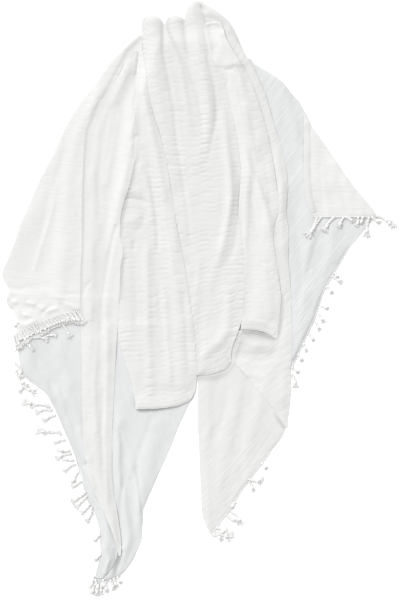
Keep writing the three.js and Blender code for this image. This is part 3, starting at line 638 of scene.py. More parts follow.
leftLower = dict(
    node="left_lower", name="leftLower", seed=15, lie=-60, cloth=gauzeSoft, tone=0.985, puckers=0.38,
    puckerPitch=9, rolled=("left", "right"), rollHeight=1.2, rollWidth=5, puff=0.9, swell=1.3,
    cut=(0.25, 0.70, 0.09),
    sides=[
        (8, -454, -219), (-48, -452, -219), (-115, -456, -221), (-165, -449, -224), (-202, -429, -226),
        (-232, -384, -229), (-278, -359, -231), (-332, -336, -234), (-390, -311, -234), (-440, -294, -232),
        (-500, -281, -222), (-530, -264, -212), (-578, -249, -204), (-622, -246, -202), (-655, -252, -208),
        (-682, -257, -226), (-698, -259, -244)],
    folds=[
        [(-128, -349, 20, 4), (-228, -324, 18, 5), (-328, -294, 16, 4), (-452, -262, 12, 5),
         (-578, -229, 9, 6)], [(-60, -424, 18, 5), (-165, -426, 18, 6), (-248, -372, 16, 3)],
        [(-240, -352, 12, 5), (-360, -312, 10, 4)]],
    creases=[
        [(-376, -210, 6, -2), (-350, -290, 6, -4), (-322, -360, 6, -4), (-288, -415, 6, -3)],
        [(-280, -412, 5, -5), (-264, -440, 5, -6), (-249, -492, 5, -6), (-222, -548, 5, -5),
         (-202, -600, 5, -3)], [(-300, -330, 9, 3), (-284, -400, 7, 3), (-262, -470, 6, 3)],
        [(-284, -420, 4, 3), (-272, -468, 4, 4), (-254, -520, 4, 3)],
        [(-236, -622, 5, 3), (-226, -652, 5, 4), (-236, -684, 5, 3)],
        [(-216, -620, 5, -6), (-212, -652, 5, -7), (-226, -676, 5, -4)],
        [(-400, -128, 8, -2), (-372, -180, 8, -3), (-340, -236, 8, -2)],
        [(-422, -205, 5, -2), (-400, -216, 5, -2)]],
    shadeLines=[
        [(-376, -210, 8, -0.02), (-350, -290, 8, -0.035), (-322, -360, 8, -0.035), (-288, -415, 8, -0.03)],
        [(-280, -412, 6, -0.05), (-249, -492, 6, -0.06), (-222, -548, 6, -0.05), (-202, -600, 6, -0.03)],
        [(-214, -626, 6, -0.14), (-213, -655, 6, -0.22), (-228, -680, 6, -0.16)],
        [(-462, -124, 3, -0.06), (-450, -130, 5, -0.18), (-438, -120, 5, -0.18), (-425, -106, 4, -0.13),
         (-403, -94, 4, -0.07), (-367, -80, 4, -0.08), (-351, -73, 3, -0.09), (-327, -66, 4, -0.12),
         (-311, -66, 3, -0.1), (-297, -69, 3, -0.06)],
        [(-403, -98, 3, -0.08), (-390, -103, 4, -0.14), (-379, -100, 4, -0.15), (-359, -84, 3, -0.1)]],
)
leftWing = dict(
    node="left_wing", name="leftWing", seed=16, lie=-8, cloth=gauzeWindow, tone=1.05, puckers=0.30,
    puckerPitch=11, rolled=("left",), rollHeight=1.2, puff=0.9, cut=(0.25, 0.72, 0.104),
    foot=[
        (-470, -113), (-450, -106), (-430, -95), (-406, -82), (-381, -72), (-356, -62), (-331, -56),
        (-304, -53), (-264, -52)],
    sides=[
        (658, -151, -141), (635, -179, -144), (612, -200, -152), (588, -224, -164), (555, -247, -181),
        (535, -261, -191), (512, -279, -205), (488, -299, -219), (448, -324, -240), (410, -344, -254),
        (335, -379, -261), (297, -399, -262), (260, -415, -263), (222, -431, -264), (185, -449, -264),
        (148, -460, -264), (122, -469, -264), (97, -480, -264), (72, -491, -264), (57, -495, -264),
        (45, -489, -264), (22, -476, -264), (12, -478, -264), (-2, -484, -264), (-20, -480, -264),
        (-28, -466, -264), (-50, -456, -264), (-76, -458, -264)],
    folds=[
        [(522, -249, 14, 5), (398, -311, 18, 4), (248, -334, 24, 5), (98, -344, 26, 6), (20, -354, 22, 5)],
        [(420, -345, 10, 1), (247, -370, 12, 2), (135, -386, 14, 2), (80, -408, 12, 1)]],
    creases=[
        [(-340, 360, 8, -1), (-360, 300, 8, -1.8), (-378, 247, 8, -1.8), (-396, 150, 8, -1.4)],
        [(-362, 240, 4, 1), (-367, 222, 4, 1.8), (-390, 150, 4, 2), (-413, 72, 4, 1.6)],
        [(-476, 34, 4, -2), (-462, 26, 4, -3), (-446, 28, 4, -3), (-428, 36, 4, -3), (-406, 36, 4, -2),
         (-384, 27, 5, -1)], [(-340, 30, 9, 1.5), (-310, 20, 9, 1.5)],
        [(-390, 24, 7, 1.5), (-360, 12, 7, 1.5), (-330, 2, 6, 1)],
        [(-474, 16, 6, 2), (-440, 12, 8, 1.8), (-400, 14, 8, 1.2), (-350, 4, 8, 0.8)],
        [(-478, 96, 3, -1.2), (-452, 84, 3, -1.6), (-420, 82, 3, -0.8)],
        [(-484, 84, 3, -1), (-456, 70, 3, -1.4), (-430, 68, 3, -0.6)],
        [(-488, 70, 3, 1), (-462, 58, 3, 1.4), (-430, 54, 3, 0.8)],
        [(-480, 4, 6, 4), (-486, -6, 6, 5), (-474, -18, 6, 4)], [(-464, -6, 5, 6), (-458, -8, 5, 6)],
        [(-434, -14, 4, -6), (-426, -18, 4, -6)], [(-424, -10, 5, 6), (-414, -14, 5, 6)],
        [(-446, -42, 4, -5), (-430, -52, 4, -6)], [(-436, -40, 6, 6), (-428, -42, 6, 5)],
        [(-400, -20, 5, 4), (-380, -30, 6, 5), (-356, -24, 5, 3)], [(-396, -38, 4, -4), (-372, -16, 4, -4)],
        [(-346, -14, 4, -4), (-334, -26, 5, -4)], [(-330, -12, 6, 4), (-306, -24, 6, 5)],
        [(-300, -10, 4, -3), (-284, -22, 4, -4)], [(-454, -60, 6, 4), (-436, -66, 6, 5), (-412, -56, 6, 3)],
        [(-462, -34, 5, 4), (-452, -46, 5, 3)]],
    shadeLines=[
        [(-340, 345, 16, -0.02), (-384, 225, 24, -0.055), (-425, 140, 28, -0.06), (-455, 80, 26, -0.045)],
        [(-141, 658, 5, -0.12), (-160, 641, 6, -0.2), (-180, 622, 6, -0.22), (-200, 588, 5, -0.16),
         (-213, 563, 4, -0.14), (-240, 513, 4, -0.15), (-272, 457, 4, -0.13)],
        [(-476, 34, 4, -0.04), (-446, 28, 4, -0.06), (-428, 36, 4, -0.06), (-406, 36, 4, -0.04)],
        [(-434, -14, 4, -0.1), (-426, -18, 4, -0.1)], [(-444, -44, 4, -0.06), (-430, -52, 4, -0.1)],
        [(-396, -36, 4, -0.05), (-372, -14, 4, -0.04)], [(-346, -14, 4, -0.05), (-334, -26, 4, -0.05)]],
)
topFold = dict(
    node="top_fold", name="topFold", seed=17, lie=-20, tone=0.975, puckers=0.45, puckerPitch=9,
    rolled=("right", "crest"), rollWidth=8, rollHeight=4, puff=1.2, held="folded", cut=(0.14, 0.17, 0.017),
    sides=[
        (744, -16, 2), (738, -18, 10), (729, -19, 24), (722, -20, 37), (710, -21, 56), (695, -21, 73),
        (678, -18, 84), (655, -10, 95), (635, -4, 103), (614, 4, 111), (582, 16, 118)],
    folds=[
        [(730, 0, 30, 7), (690, 40, 36, 12), (582, 80, 26, 3)]],
    creases=[
        [(-14, 738, 6, -5), (0, 731, 6, -8), (14, 724, 6, -5)],
        [(16, 724, 6, 2), (44, 710, 7, 3), (70, 684, 7, 3), (90, 650, 6, 2)],
        [(18, 704, 6, -3), (46, 698, 6, -4), (66, 684, 6, -3)]],
    shadeLines=[
        [(-12, 737, 6, -0.08), (0, 731, 7, -0.14), (14, 724, 6, -0.06)],
        [(10, 700, 6, -0.05), (40, 697, 5, -0.05), (58, 692, 5, -0.04)]],
)
rightStrip = dict(
    node="right_strip", name="rightStrip", seed=18, lie=33, tone=1.02, puckers=0.55, puckerPitch=9,
    rolled=("right", "left"), rollHeight=1.2, rollWidth=9, puff=0.6, swell=0.9, cut=(0.15, 0.99, 0.072),
    gaps=[(300, -0.35), (270, 0.1), (200, 0.1), (170, -0.35)],
    sides=[
        (668, 31, 66), (655, 34, 84), (635, 41, 100), (614, 54, 111), (598, 69, 121), (578, 80, 134),
        (548, 96, 149), (515, 111, 163), (472, 126, 176), (410, 144, 194), (380, 150, 204), (348, 156, 211),
        (310, 161, 218), (285, 166, 221), (260, 164, 220), (215, 160, 216), (172, 156, 223), (98, 160, 221),
        (48, 158, 226), (-2, 150, 229), (-52, 126, 231), (-102, 96, 231), (-140, 86, 231), (-158, 84, 229),
        (-175, 101, 227), (-198, 121, 229), (-220, 139, 229), (-258, 171, 226), (-280, 189, 224),
        (-302, 204, 221), (-322, 216, 221)],
    folds=[
        [(618, 108, 12, 3), (522, 146, 12, 3), (372, 190, 12, 3), (285, 206, 10, 6), (230, 203, 10, 6),
         (98, 210, 11, 3), (-78, 216, 9, 2), (-240, 212, 8, 2)],
        [(172, 176, 12, 2), (60, 184, 12, 2), (-40, 178, 20, 3)]],
    creases=[
        [(104, -104, 9, 3), (140, -116, 11, 6), (176, -118, 9, 4)],
        [(96, -140, 9, -4), (140, -146, 10, -6), (182, -142, 9, -4)],
        [(120, -186, 9, 2), (160, -196, 9, 3), (200, -250, 9, 3)]],
    shadeLines=[
        [(100, -132, 9, -0.02), (140, -142, 11, -0.05), (178, -138, 10, -0.03)],
        [(102, -92, 14, -0.07), (135, -94, 15, -0.1), (160, -99, 15, -0.1), (188, -112, 12, -0.06)],
        [(104, -83, 6, -0.26), (135, -83, 7, -0.31), (158, -88, 7, -0.31), (184, -99, 6, -0.26)],
        [(203, 20, 4, -0.04), (208, -2, 4, -0.12), (206, -30, 5, -0.2), (203, -55, 5, -0.25),
         (199, -80, 5, -0.28), (193, -96, 5, -0.24)],
        [(104, -95, 5, -0.14), (98, -120, 5, -0.17), (92, -140, 5, -0.17), (88, -156, 5, -0.1)],
        [(196, 165, 10, -0.02), (204, 60, 10, -0.03), (208, -20, 9, -0.02)],
        [(214, 292, 3, -0.04), (219, 262, 3, -0.1), (219, 230, 3, -0.1), (215, 206, 3, -0.03)]],
)
frontMiddle = dict(
    node="front_middle", name="frontMiddle", seed=19, turnAbout=0, puckers=0.62, swell=0.9,
    rolled=("left", "crest"), rollWidth=8, rollHeight=5, puff=1.2, cells=(3.6, 1.9), held="gathered",
    cut=(0.32, 0.95, 0.19),
    turns=[(560, 1), (380, 4), (200, 7), (60, 12), (-60, 20), (-190, 22)],
    crest=[
        (-146, 684), (-143, 694), (-137, 703), (-121, 708), (-105, 706), (-97, 700), (-93, 693), (-88, 686),
        (-84, 690), (-81, 700), (-72, 706), (-59, 709), (-46, 705), (-38, 698), (-36, 700), (-33, 714),
        (-30, 728), (-24, 740), (-12, 745), (0, 738), (6, 722), (10, 702), (15, 688), (20, 676)],
    foot=[(-30, -189), (-6, -190), (16, -190), (39, -186), (59, -179), (70, -170), (78, -158), (84, -146)],
    sides=[
        (700, -144, 18), (688, -144, 20), (658, -144, 24), (598, -149, 36), (560, -151, 70),
        (522, -151, 91), (422, -134, 116), (322, -112, 126), (248, -98, 126), (148, -82, 119),
        (48, -62, 116), (-52, -47, 106), (-115, -34, 91), (-150, -27, 82), (-158, -26, 79)],
    folds=[
        [(697, -115, 22, 9), (647, -114, 22, 10), (597, -113, 20, 8), (547, -106, 18, 6),
         (497, -100, 16, 5), (397, -84, 14, 3), (300, -66, 12, 2)],
        [(697, -60, 15, 8), (660, -50, 14, 7), (622, -39, 12, 5), (585, -28, 10, 2)],
        [(735, -20, 17, 6), (710, -14, 17, 8), (685, -10, 17, 8), (647, -6, 17, 8), (610, -3, 16, 8),
         (572, 5, 16, 8), (547, 12, 15, 9), (522, 18, 14, 10), (485, 24, 14, 9), (447, 23, 13, 7),
         (410, 18, 12, 5), (372, 13, 12, 2)],
        [(460, 60, 10, 2), (447, 62, 10, 5), (372, 69, 11, 8), (297, 77, 10, 10), (260, 79, 10, 10),
         (222, 75, 10, 9), (185, 69, 10, 8), (147, 62, 10, 6), (110, 52, 11, 5), (77, 41, 12, 3),
         (20, 22, 12, 1)]],
    creases=[
        [(-90, 694, 5, -6), (-90, 652, 5, -6), (-91, 622, 5, -4), (-84, 585, 5, -3), (-73, 527, 5, -3.4),
         (-62, 460, 5, -3.6), (-58, 400, 5, -3.4), (-50, 345, 5, -3.4), (-38, 272, 5, -3),
         (-30, 225, 5, -2.4), (-26, 180, 5, -2), (-20, 122, 5, -1)],
        [(-79, 697, 5, -4), (-76, 672, 5, -4), (-65, 651, 5, -3.4), (-54, 632, 5, -3), (-42, 613, 5, -3),
         (-31, 587, 5, -3), (-20, 558, 5, -3), (-9, 524, 5, -3), (-1, 500, 5, -3), (4, 460, 5, -2.6),
         (9, 422, 5, -2.2), (11, 360, 5, -1)],
        [(-34, 716, 5, -5), (-37, 692, 5, -5), (-34, 650, 5, -3), (-27, 591, 5, -2), (-19, 560, 5, -1)],
        [(-86, 687, 8, 3), (-81, 665, 8, 5), (-71, 640, 8, 6), (-59, 612, 8, 6), (-46, 577, 8, 5),
         (-39, 535, 8, 4), (-31, 485, 9, 3), (-24, 422, 9, 2)],
        [(14, 657, 4, -2), (19, 625, 4, -2.4), (22, 591, 4, -2.4), (29, 570, 4, -2.4), (35, 547, 4, -3),
         (39, 525, 4, -4), (41, 502, 4, -4), (42, 457, 4, -4), (39, 432, 4, -3.6), (34, 412, 4, -3),
         (29, 385, 5, -2), (24, 350, 5, -1)],
        [(94, 330, 5, -1), (101, 297, 5, -2), (102, 250, 5, -2), (98, 206, 5, -2), (92, 160, 6, -2),
         (84, 122, 7, -1.6), (70, 90, 8, -1)],
        [(72, 22, 12, 2), (74, -28, 12, 4), (68, -78, 12, 5), (50, -108, 12, 5), (24, -128, 12, 4),
         (0, -148, 10, 2)], [(-28, 107, 5, -3), (-30, 84, 5, -3)], [(-12, 58, 6, -3), (-8, 48, 6, -2)],
        [(10, -20, 8, -2), (-2, -90, 8, -3), (4, -150, 8, -2)],
        [(0, 100, 9, 2), (-8, 20, 9, 2), (-18, -60, 8, 2)],
        [(-26, -192, 9, -1.5), (40, -190, 9, -2), (86, -152, 9, -1.5)]],
    shades=[
        [(745, -70, 130, -0.05), (650, -70, 130, -0.05), (560, -60, 130, -0.02)]],
    shadeLines=[
        [(-95, 692, 6, -0.03), (-94, 640, 6, -0.04), (-90, 600, 6, -0.02), (-64, 460, 5, -0.02),
         (-58, 400, 5, -0.03), (-39, 272, 5, -0.02)],
        [(42, 520, 5, -0.02), (43, 480, 5, -0.05), (42, 450, 5, -0.05), (35, 412, 5, -0.03)],
        [(94, 320, 6, -0.01), (98, 290, 6, -0.04), (96, 250, 7, -0.06), (92, 206, 7, -0.06),
         (84, 160, 8, -0.05), (72, 122, 8, -0.04), (60, 90, 8, -0.02)],
        [(-88, 690, 5, -0.05), (-89, 650, 5, -0.05), (-88, 610, 5, -0.02)],
        [(-24, 727, 9, -0.04), (-8, 738, 8, -0.05), (2, 728, 7, -0.06)],
        [(-29, 100, 6, -0.04), (-28, 90, 6, -0.04)]],
)
frontRight = dict(
    node="front_right", name="frontRight", seed=20, lie=6, tone=1.03, puckers=0.40,
    rolled=("left", "right", "crest"), rollWidth=9, rollHeight=1.4, puff=0.7, cells=(3.6, 1.9),
    held="gathered", cut=(0.17, 0.79, 0.078),
    gaps=[(0, -0.4)],
    crest=[(10, 686), (20, 691), (39, 694), (54, 692), (60, 684), (66, 672)],
    foot=[(100, -77), (115, -76), (135, -77), (156, -81), (170, -86), (182, -93), (190, -99), (200, -98)],
    sides=[
        (692, 12, 50), (680, 12, 62), (648, 16, 74), (608, 26, 96), (578, 44, 111), (558, 62, 122),
        (505, 71, 144), (452, 84, 160), (398, 95, 174), (328, 104, 186), (272, 101, 194), (240, 98, 199),
        (212, 97, 196), (185, 99, 186), (147, 104, 184), (97, 107, 191), (47, 110, 199), (2, 111, 205),
        (-28, 109, 202), (-52, 107, 199), (-80, 104, 195)],
    folds=[
        [(660, 58, 12, 4), (620, 78, 14, 5), (575, 94, 16, 5), (520, 104, 18, 4), (440, 112, 18, 4),
         (372, 120, 16, 4), (340, 121, 14, 5), (310, 122, 12, 6), (272, 118, 10, 6), (230, 114, 9, 4),
         (150, 116, 9, 2)],
        [(350, 116, 8, 3), (307, 134, 8, 7), (262, 155, 8, 8), (205, 171, 8, 6), (180, 178, 8, 2)],
        [(520, 134, 12, 2), (420, 154, 12, 2), (300, 178, 12, 2), (230, 186, 9, 2)],
        [(120, 146, 18, 3), (20, 152, 18, 3), (-60, 150, 22, 3)]],
    creases=[
        [(12, 684, 5, 3), (26, 690, 5, 5), (42, 691, 5, 5), (56, 684, 5, 5), (64, 668, 5, 4)],
        [(24, 672, 8, -5), (32, 656, 9, -7), (34, 632, 8, -5), (36, 606, 7, -2)],
        [(48, 682, 4, -5), (58, 672, 4, -5)],
        [(50, 576, 5, -1.6), (66, 573, 4, -3), (80, 573, 4, -3), (84, 582, 4, -2), (84, 594, 4, -1)],
        [(58, 650, 6, -3), (72, 622, 6, -4), (86, 600, 5, -3)],
        [(68, 566, 5, -2), (70, 545, 4, -3.5), (66, 528, 4, -4), (70, 510, 4, -3.5), (76, 480, 4, -2),
         (84, 440, 4, -1)], [(112, 480, 9, 3), (130, 380, 9, 3)],
        [(156, 380, 7, -1), (172, 290, 7, -1.5), (184, 232, 6, -1)],
        [(128, 262, 6, -2), (136, 215, 6, -2), (140, 170, 6, -1)],
        [(110, -52, 5, 1), (150, -56, 5, 1.5), (188, -70, 5, 1)]],
    shadeLines=[
        [(100, 240, 3, -0.05), (101, 185, 3, -0.1), (107, 120, 3, -0.1), (112, 40, 3, -0.1),
         (110, -40, 3, -0.08)], [(106, 250, 6, -0.02), (110, 300, 6, -0.03)],
        [(30, 660, 10, -0.03), (34, 632, 9, -0.03)],
        [(62, 573, 4, -0.05), (82, 574, 4, -0.06), (84, 592, 4, -0.03)],
        [(69, 550, 4, -0.05), (66, 528, 4, -0.08), (70, 508, 4, -0.06), (76, 478, 4, -0.02)]],
)
frontLeft = dict(
    node="front_left", name="frontLeft", seed=21, turnAbout=-100, puckers=0.62, rolled=("right", "left"),
    rollWidth=9, rollHeight=1.3, puff=0.6, cells=(3.6, 1.9), held="gathered", cut=(0.20, 0.92, 0.118),
    turns=[(560, -6), (300, 0), (100, 2), (-60, 4), (-270, 6)],
    gaps=[(0, -0.4)],
    foot=[
        (-165, -274), (-156, -275), (-119, -275), (-79, -271), (-60, -268), (-49, -265), (-36, -260),
        (-26, -255), (-18, -246), (-8, -222), (0, -210)],
    sides=[
        (640, -150, -144), (610, -152, -141), (572, -156, -134), (522, -160, -130), (460, -166, -116),
        (410, -172, -99), (358, -178, -86), (335, -182, -81), (272, -198, -71), (198, -214, -60),
        (138, -218, -49), (92, -212, -39), (-2, -206, -24), (-102, -202, -11), (-142, -190, -9),
        (-215, -168, -5), (-245, -163, -8), (-260, -160, -9)],
    folds=[
        [(520, -142, 8, 4), (448, -126, 10, 6), (400, -114, 10, 6), (298, -96, 11, 5), (200, -78, 12, 4),
         (100, -62, 12, 3)],
        [(120, -131, 10, 5), (40, -131, 10, 5), (-100, -128, 10, 4), (-240, -122, 12, 3)],
        [(130, -72, 12, 4), (60, -60, 13, 4), (-60, -52, 13, 4), (-220, -44, 14, 3)]],
    creases=[
        [(-160, 558, 6, -3), (-158, 500, 8, -6), (-152, 440, 8, -6), (-146, 400, 8, -4)],
        [(-196, 378, 5, -3), (-178, 395, 5, -4), (-154, 407, 5, -3)],
        [(-182, 252, 6, -2), (-160, 250, 7, -4), (-140, 245, 7, -3), (-122, 236, 6, -1)],
        [(-182, 272, 8, 2), (-152, 270, 9, 2)],
        [(-176, 196, 12, 3), (-160, 202, 14, 4), (-148, 190, 11, 2)],
        [(-144, 228, 6, -1), (-137, 208, 7, -2), (-142, 184, 7, -2), (-156, 172, 6, -1)],
        [(-164, -276, 30, 8), (-112, -279, 30, 8), (-70, -274, 26, 5), (-34, -260, 16, 1)],
        [(-150, 330, 9, 3), (-128, 280, 9, 3), (-118, 200, 9, 3)],
        [(-128, 330, 6, -2), (-112, 240, 6, -3), (-104, 160, 6, -4), (-104, 60, 6, -4), (-98, -40, 6, -3),
         (-92, -140, 6, -2)],
        [(-164, 140, 6, -4), (-164, 60, 6, -4), (-162, -20, 6, -4), (-160, -100, 6, -3)],
        [(-84, 240, 6, -2), (-72, 160, 6, -3), (-56, 60, 6, -2)],
        [(-84, 0, 6, 2), (-80, -100, 6, 2), (-74, -200, 6, 2)],
        [(-40, 10, 5, -2), (-32, -90, 5, -3), (-26, -180, 5, -2)]],
    shadeLines=[
        [(-162, 540, 9, -0.02), (-156, 490, 9, -0.045), (-150, 430, 9, -0.04), (-146, 390, 8, -0.015)],
        [(-153, 362, 4, -0.06), (-160, 335, 5, -0.16), (-170, 290, 5, -0.22), (-184, 244, 5, -0.24),
         (-194, 200, 5, -0.24), (-196, 155, 4, -0.12)],
        [(-187, 112, 4, -0.12), (-193, 85, 4, -0.26), (-195, 50, 4, -0.24), (-196, 0, 4, -0.1)],
        [(-180, 252, 7, -0.03), (-156, 249, 8, -0.05), (-130, 242, 7, -0.03)],
        [(-164, 140, 8, -0.02), (-164, 40, 8, -0.03), (-160, -80, 8, -0.02)]],
)
leftStrip = dict(
    node="left_strip", name="leftStrip", seed=22, lie=-24, tone=1.01, puckers=0.40, puckerPitch=10,
    rolled=("left", "right", "crest"), rollWidth=7, rollHeight=1.1, puff=0.5, swell=0.9, held="gathered",
    cut=(0.15, 1.28, 0.12),
    gaps=[(60, 0.1), (0, -0.3), (-400, -0.4)],
    tuck=[
        (620, -144, 16), (560, -148, 18), (480, -149, 20), (420, -150, 20), (385, -152, 18),
        (366, -156, 14)],
    crest=[(-188, 592), (-183, 603), (-176, 611), (-167, 617), (-157, 621), (-146, 622)],
    sides=[
        (622, -188, -146), (608, -189, -146), (592, -195, -145), (572, -204, -145), (535, -224, -145),
        (512, -236, -145), (490, -251, -145), (455, -269, -146), (438, -279, -147), (422, -284, -148),
        (390, -288, -150), (358, -289, -155), (345, -290, -161), (322, -291, -166), (285, -293, -174),
        (242, -294, -188), (220, -294, -194), (198, -294, -198), (152, -294, -199), (140, -294, -196),
        (132, -294, -190), (110, -295, -191), (85, -297, -197), (-2, -299, -200), (-78, -296, -205),
        (-165, -294, -210), (-265, -294, -215), (-352, -291, -219), (-440, -279, -219), (-490, -262, -214),
        (-515, -248, -209), (-540, -236, -204), (-590, -216, -197), (-628, -205, -195), (-642, -202, -197)],
    folds=[
        [(572, -179, 16, 6), (472, -219, 18, 5), (348, -249, 22, 4), (172, -264, 18, 4), (-2, -276, 12, 3),
         (-252, -269, 16, 3), (-452, -250, 12, 5), (-602, -208, 7, 5)],
        [(422, -174, 12, 3), (322, -184, 11, 5), (250, -204, 11, 6), (172, -218, 11, 5),
         (110, -216, 10, 4)],
        [(60, -224, 10, 3), (0, -232, 10, 3), (-60, -232, 10, 3), (-128, -230, 10, 3), (-328, -234, 9, 2),
         (-478, -232, 8, 2), (-560, -211, 7, 2)]],
    creases=[
        [(-206, 182, 5, -4), (-214, 160, 5, -5), (-222, 122, 5, -6), (-231, 85, 5, -7), (-240, 47, 5, -7),
         (-246, 10, 5, -7), (-247, -40, 5, -6), (-244, -80, 5, -3)],
        [(-268, 453, 5, -3), (-284, 438, 5, -3)], [(-192, 560, 9, 2), (-176, 590, 9, 3)],
        [(-158, 560, 8, -4), (-158, 500, 8, -5), (-154, 440, 8, -4), (-150, 410, 7, -2)],
        [(-272, 45, 4, -2), (-284, 30, 4, -3), (-290, 12, 4, -2)],
        [(-196, -118, 5, -4), (-182, -126, 5, -4)],
        [(-256, -100, 6, 2), (-262, -220, 6, 2.5), (-258, -330, 6, 2)],
        [(-240, -230, 5, -2), (-244, -330, 5, -2.5), (-240, -420, 5, -2)],
        [(-222, 480, 7, -2), (-240, 400, 7, -3), (-252, 300, 7, -3), (-250, 200, 7, -2)],
        [(-200, 470, 8, 2), (-218, 370, 8, 3), (-232, 290, 8, 3)]],
    shadeLines=[
        [(-164, 560, 10, -0.03), (-160, 490, 10, -0.05), (-156, 430, 9, -0.03)],
        [(-252, 488, 4, -0.08), (-283, 420, 4, -0.17), (-288, 358, 4, -0.2), (-291, 285, 4, -0.2),
         (-292, 152, 4, -0.2), (-295, 85, 4, -0.19), (-297, -2, 4, -0.15), (-293, -76, 4, -0.07)],
        [(-185, 592, 5, -0.05), (-178, 606, 5, -0.08), (-166, 615, 5, -0.09), (-150, 619, 4, -0.05)],
        [(-222, 122, 5, -0.03), (-240, 47, 5, -0.05), (-246, 0, 5, -0.05), (-247, -45, 5, -0.03)],
        [(-194, -120, 5, -0.04), (-184, -125, 5, -0.04)]],
)

for piece in (rightBack, rightLower, leftTail, rightWing, leftLower, leftWing, topFold, rightStrip,
              frontMiddle, frontRight, frontLeft, leftStrip):
    layCloth(piece)


hemSettings = dict(
    depth=17, inset=0.6, wall=0.7, thick=0.8, lift=0.2, spacing=3.0, across=8,
    rows=(3.0, 13.5), rowDepth=0.8, rowWidth=1.2, stitch=3.4, gap=1.6, thread=0.45, stitchLift=0.05,
)
hemEdges = {
    "front_left": [(-156, -275), (-119, -275), (-79, -271), (-49, -265), (-36, -260), (-24, -252)],
    "front_middle": [(-2, -190), (16, -190), (39, -186), (59, -179), (70, -170), (78, -158)],
    "front_right": [(104, -77), (135, -77), (156, -81), (170, -86), (184, -94)],
    "right_wing": [(261, 440), (261, 368), (261, 298), (264, 262), (270, 235), (278, 214)],
}


def alongLine(points, spacing):
    # even places down a line, each with its direction
    points = np.array(points, dtype=float)
    lengths = np.hypot(*np.diff(points, axis=0).T)
    total = np.concatenate([[0], np.cumsum(lengths)])
    count = max(2, int(round(total[-1] / spacing)) + 1)
    marks = np.linspace(0, total[-1], count)
    places = np.stack([np.interp(marks, total, points[:, k]) for k in (0, 1)], axis=1)
    for _ in range(3):
        places[1:-1] = 0.25 * places[:-2] + 0.5 * places[1:-1] + 0.25 * places[2:]
    heading = np.gradient(places, axis=0)
    heading /= np.linalg.norm(heading, axis=1)[:, None]
    return places, heading


def sewHem(panel):
    s = hemSettings
    places, heading = alongLine(hemEdges[panel], s["spacing"])
    inward = np.stack([-heading[:, 1], heading[:, 0]], axis=1)
    bm = bmesh.new()
    bmesh.ops.create_grid(bm, x_segments=len(places) - 1, y_segments=s["across"], size=1.0)
    for vert in bm.verts:
        k = int(round((vert.co.x * 0.5 + 0.5) * (len(places) - 1)))
        share = vert.co.y * 0.5 + 0.5
        spot = places[k] + inward[k] * (s["inset"] + share * (s["depth"] - s["inset"]))
        over = sampled(pile, *spot) + s["wall"] * (1 - (2 * share - 1) ** 8)
        past = [(share * s["depth"] - row) / s["rowWidth"] for row in s["rows"]]
        over -= s["rowDepth"] * sum(math.exp(-(p**2)) for p in past)
        vert.co = (*spot, over + s["lift"])
    coordinates(bm, 1.0)
    for face in bm.faces:
        face.smooth = True
    bmesh.ops.recalc_face_normals(bm, faces=bm.faces)
    if sum(f.normal.z for f in bm.faces) < 0:
        bmesh.ops.reverse_faces(bm, faces=bm.faces)
    cutEdges(bm)
    band = placed(bm, "hemBand_" + panel, hemCloth)
    thicken(band, s["thick"])
    dress(band, "hem_" + panel)
    sewStitches(panel, s)
    print("sewn", panel)


def sewStitches(panel, s):
    bm = bmesh.new()
    spots, headings = alongLine(hemEdges[panel], s["stitch"] + s["gap"])
    for row in s["rows"]:
        for spot, way in zip(spots[1:-1], headings[1:-1]):
            at = spot + np.array([-way[1], way[0]]) * row
            made = bmesh.ops.create_icosphere(bm, subdivisions=1, radius=1.0)["verts"]
            bmesh.ops.scale(bm, vec=(s["stitch"] / 2, s["thread"], s["thread"]), verts=made)
            turned(bm, made, math.atan2(way[1], way[0]))
            lift = float(sampled(pile, *at)) + s["wall"] + s["stitchLift"]
            bmesh.ops.translate(bm, vec=(at[0], at[1], lift), verts=made)
    for face in bm.faces:
        face.smooth = True
    dress(placed(bm, "stitches_" + panel, yarn))


def turned(bm, verts, angle):
    bmesh.ops.rotate(bm, cent=(0, 0, 0), matrix=Matrix.Rotation(angle, 3, "Z"), verts=verts)


for panel in hemEdges:
    sewHem(panel)


yarnSettings = dict(
    ply=2.2, twist=16.0, plyOut=0.9, plyRise=0.35, plySides=6, flat=0.5,
    bow=0.16, step=3.5, sag=0.45,  # sag is the drop at each step past the cloth's edge
    knot=5.2, knotAt=0.66, knotSizes=(0.8, 1.1), knotShape=(1.1, 0.9, 0.6), knotLift=0.6, knotTurn=0.5,
    wound=0.10, woundPitch=1.8,
    fluff=1.25, ends=7, endSpread=0.2, endTurn=0.12, endReach=(0.85, 1.15), endExtra=2, endFall=1.4,
    endWidths=[(0, 1.3), (0.35, 1.2), (0.7, 1.0), (1, 0.5)], endLift=1.2, endSides=5,
    header=0.8, headerStep=5.0, headerTurn=1.9, headerWind=0.4, headerLift=0.2,
)
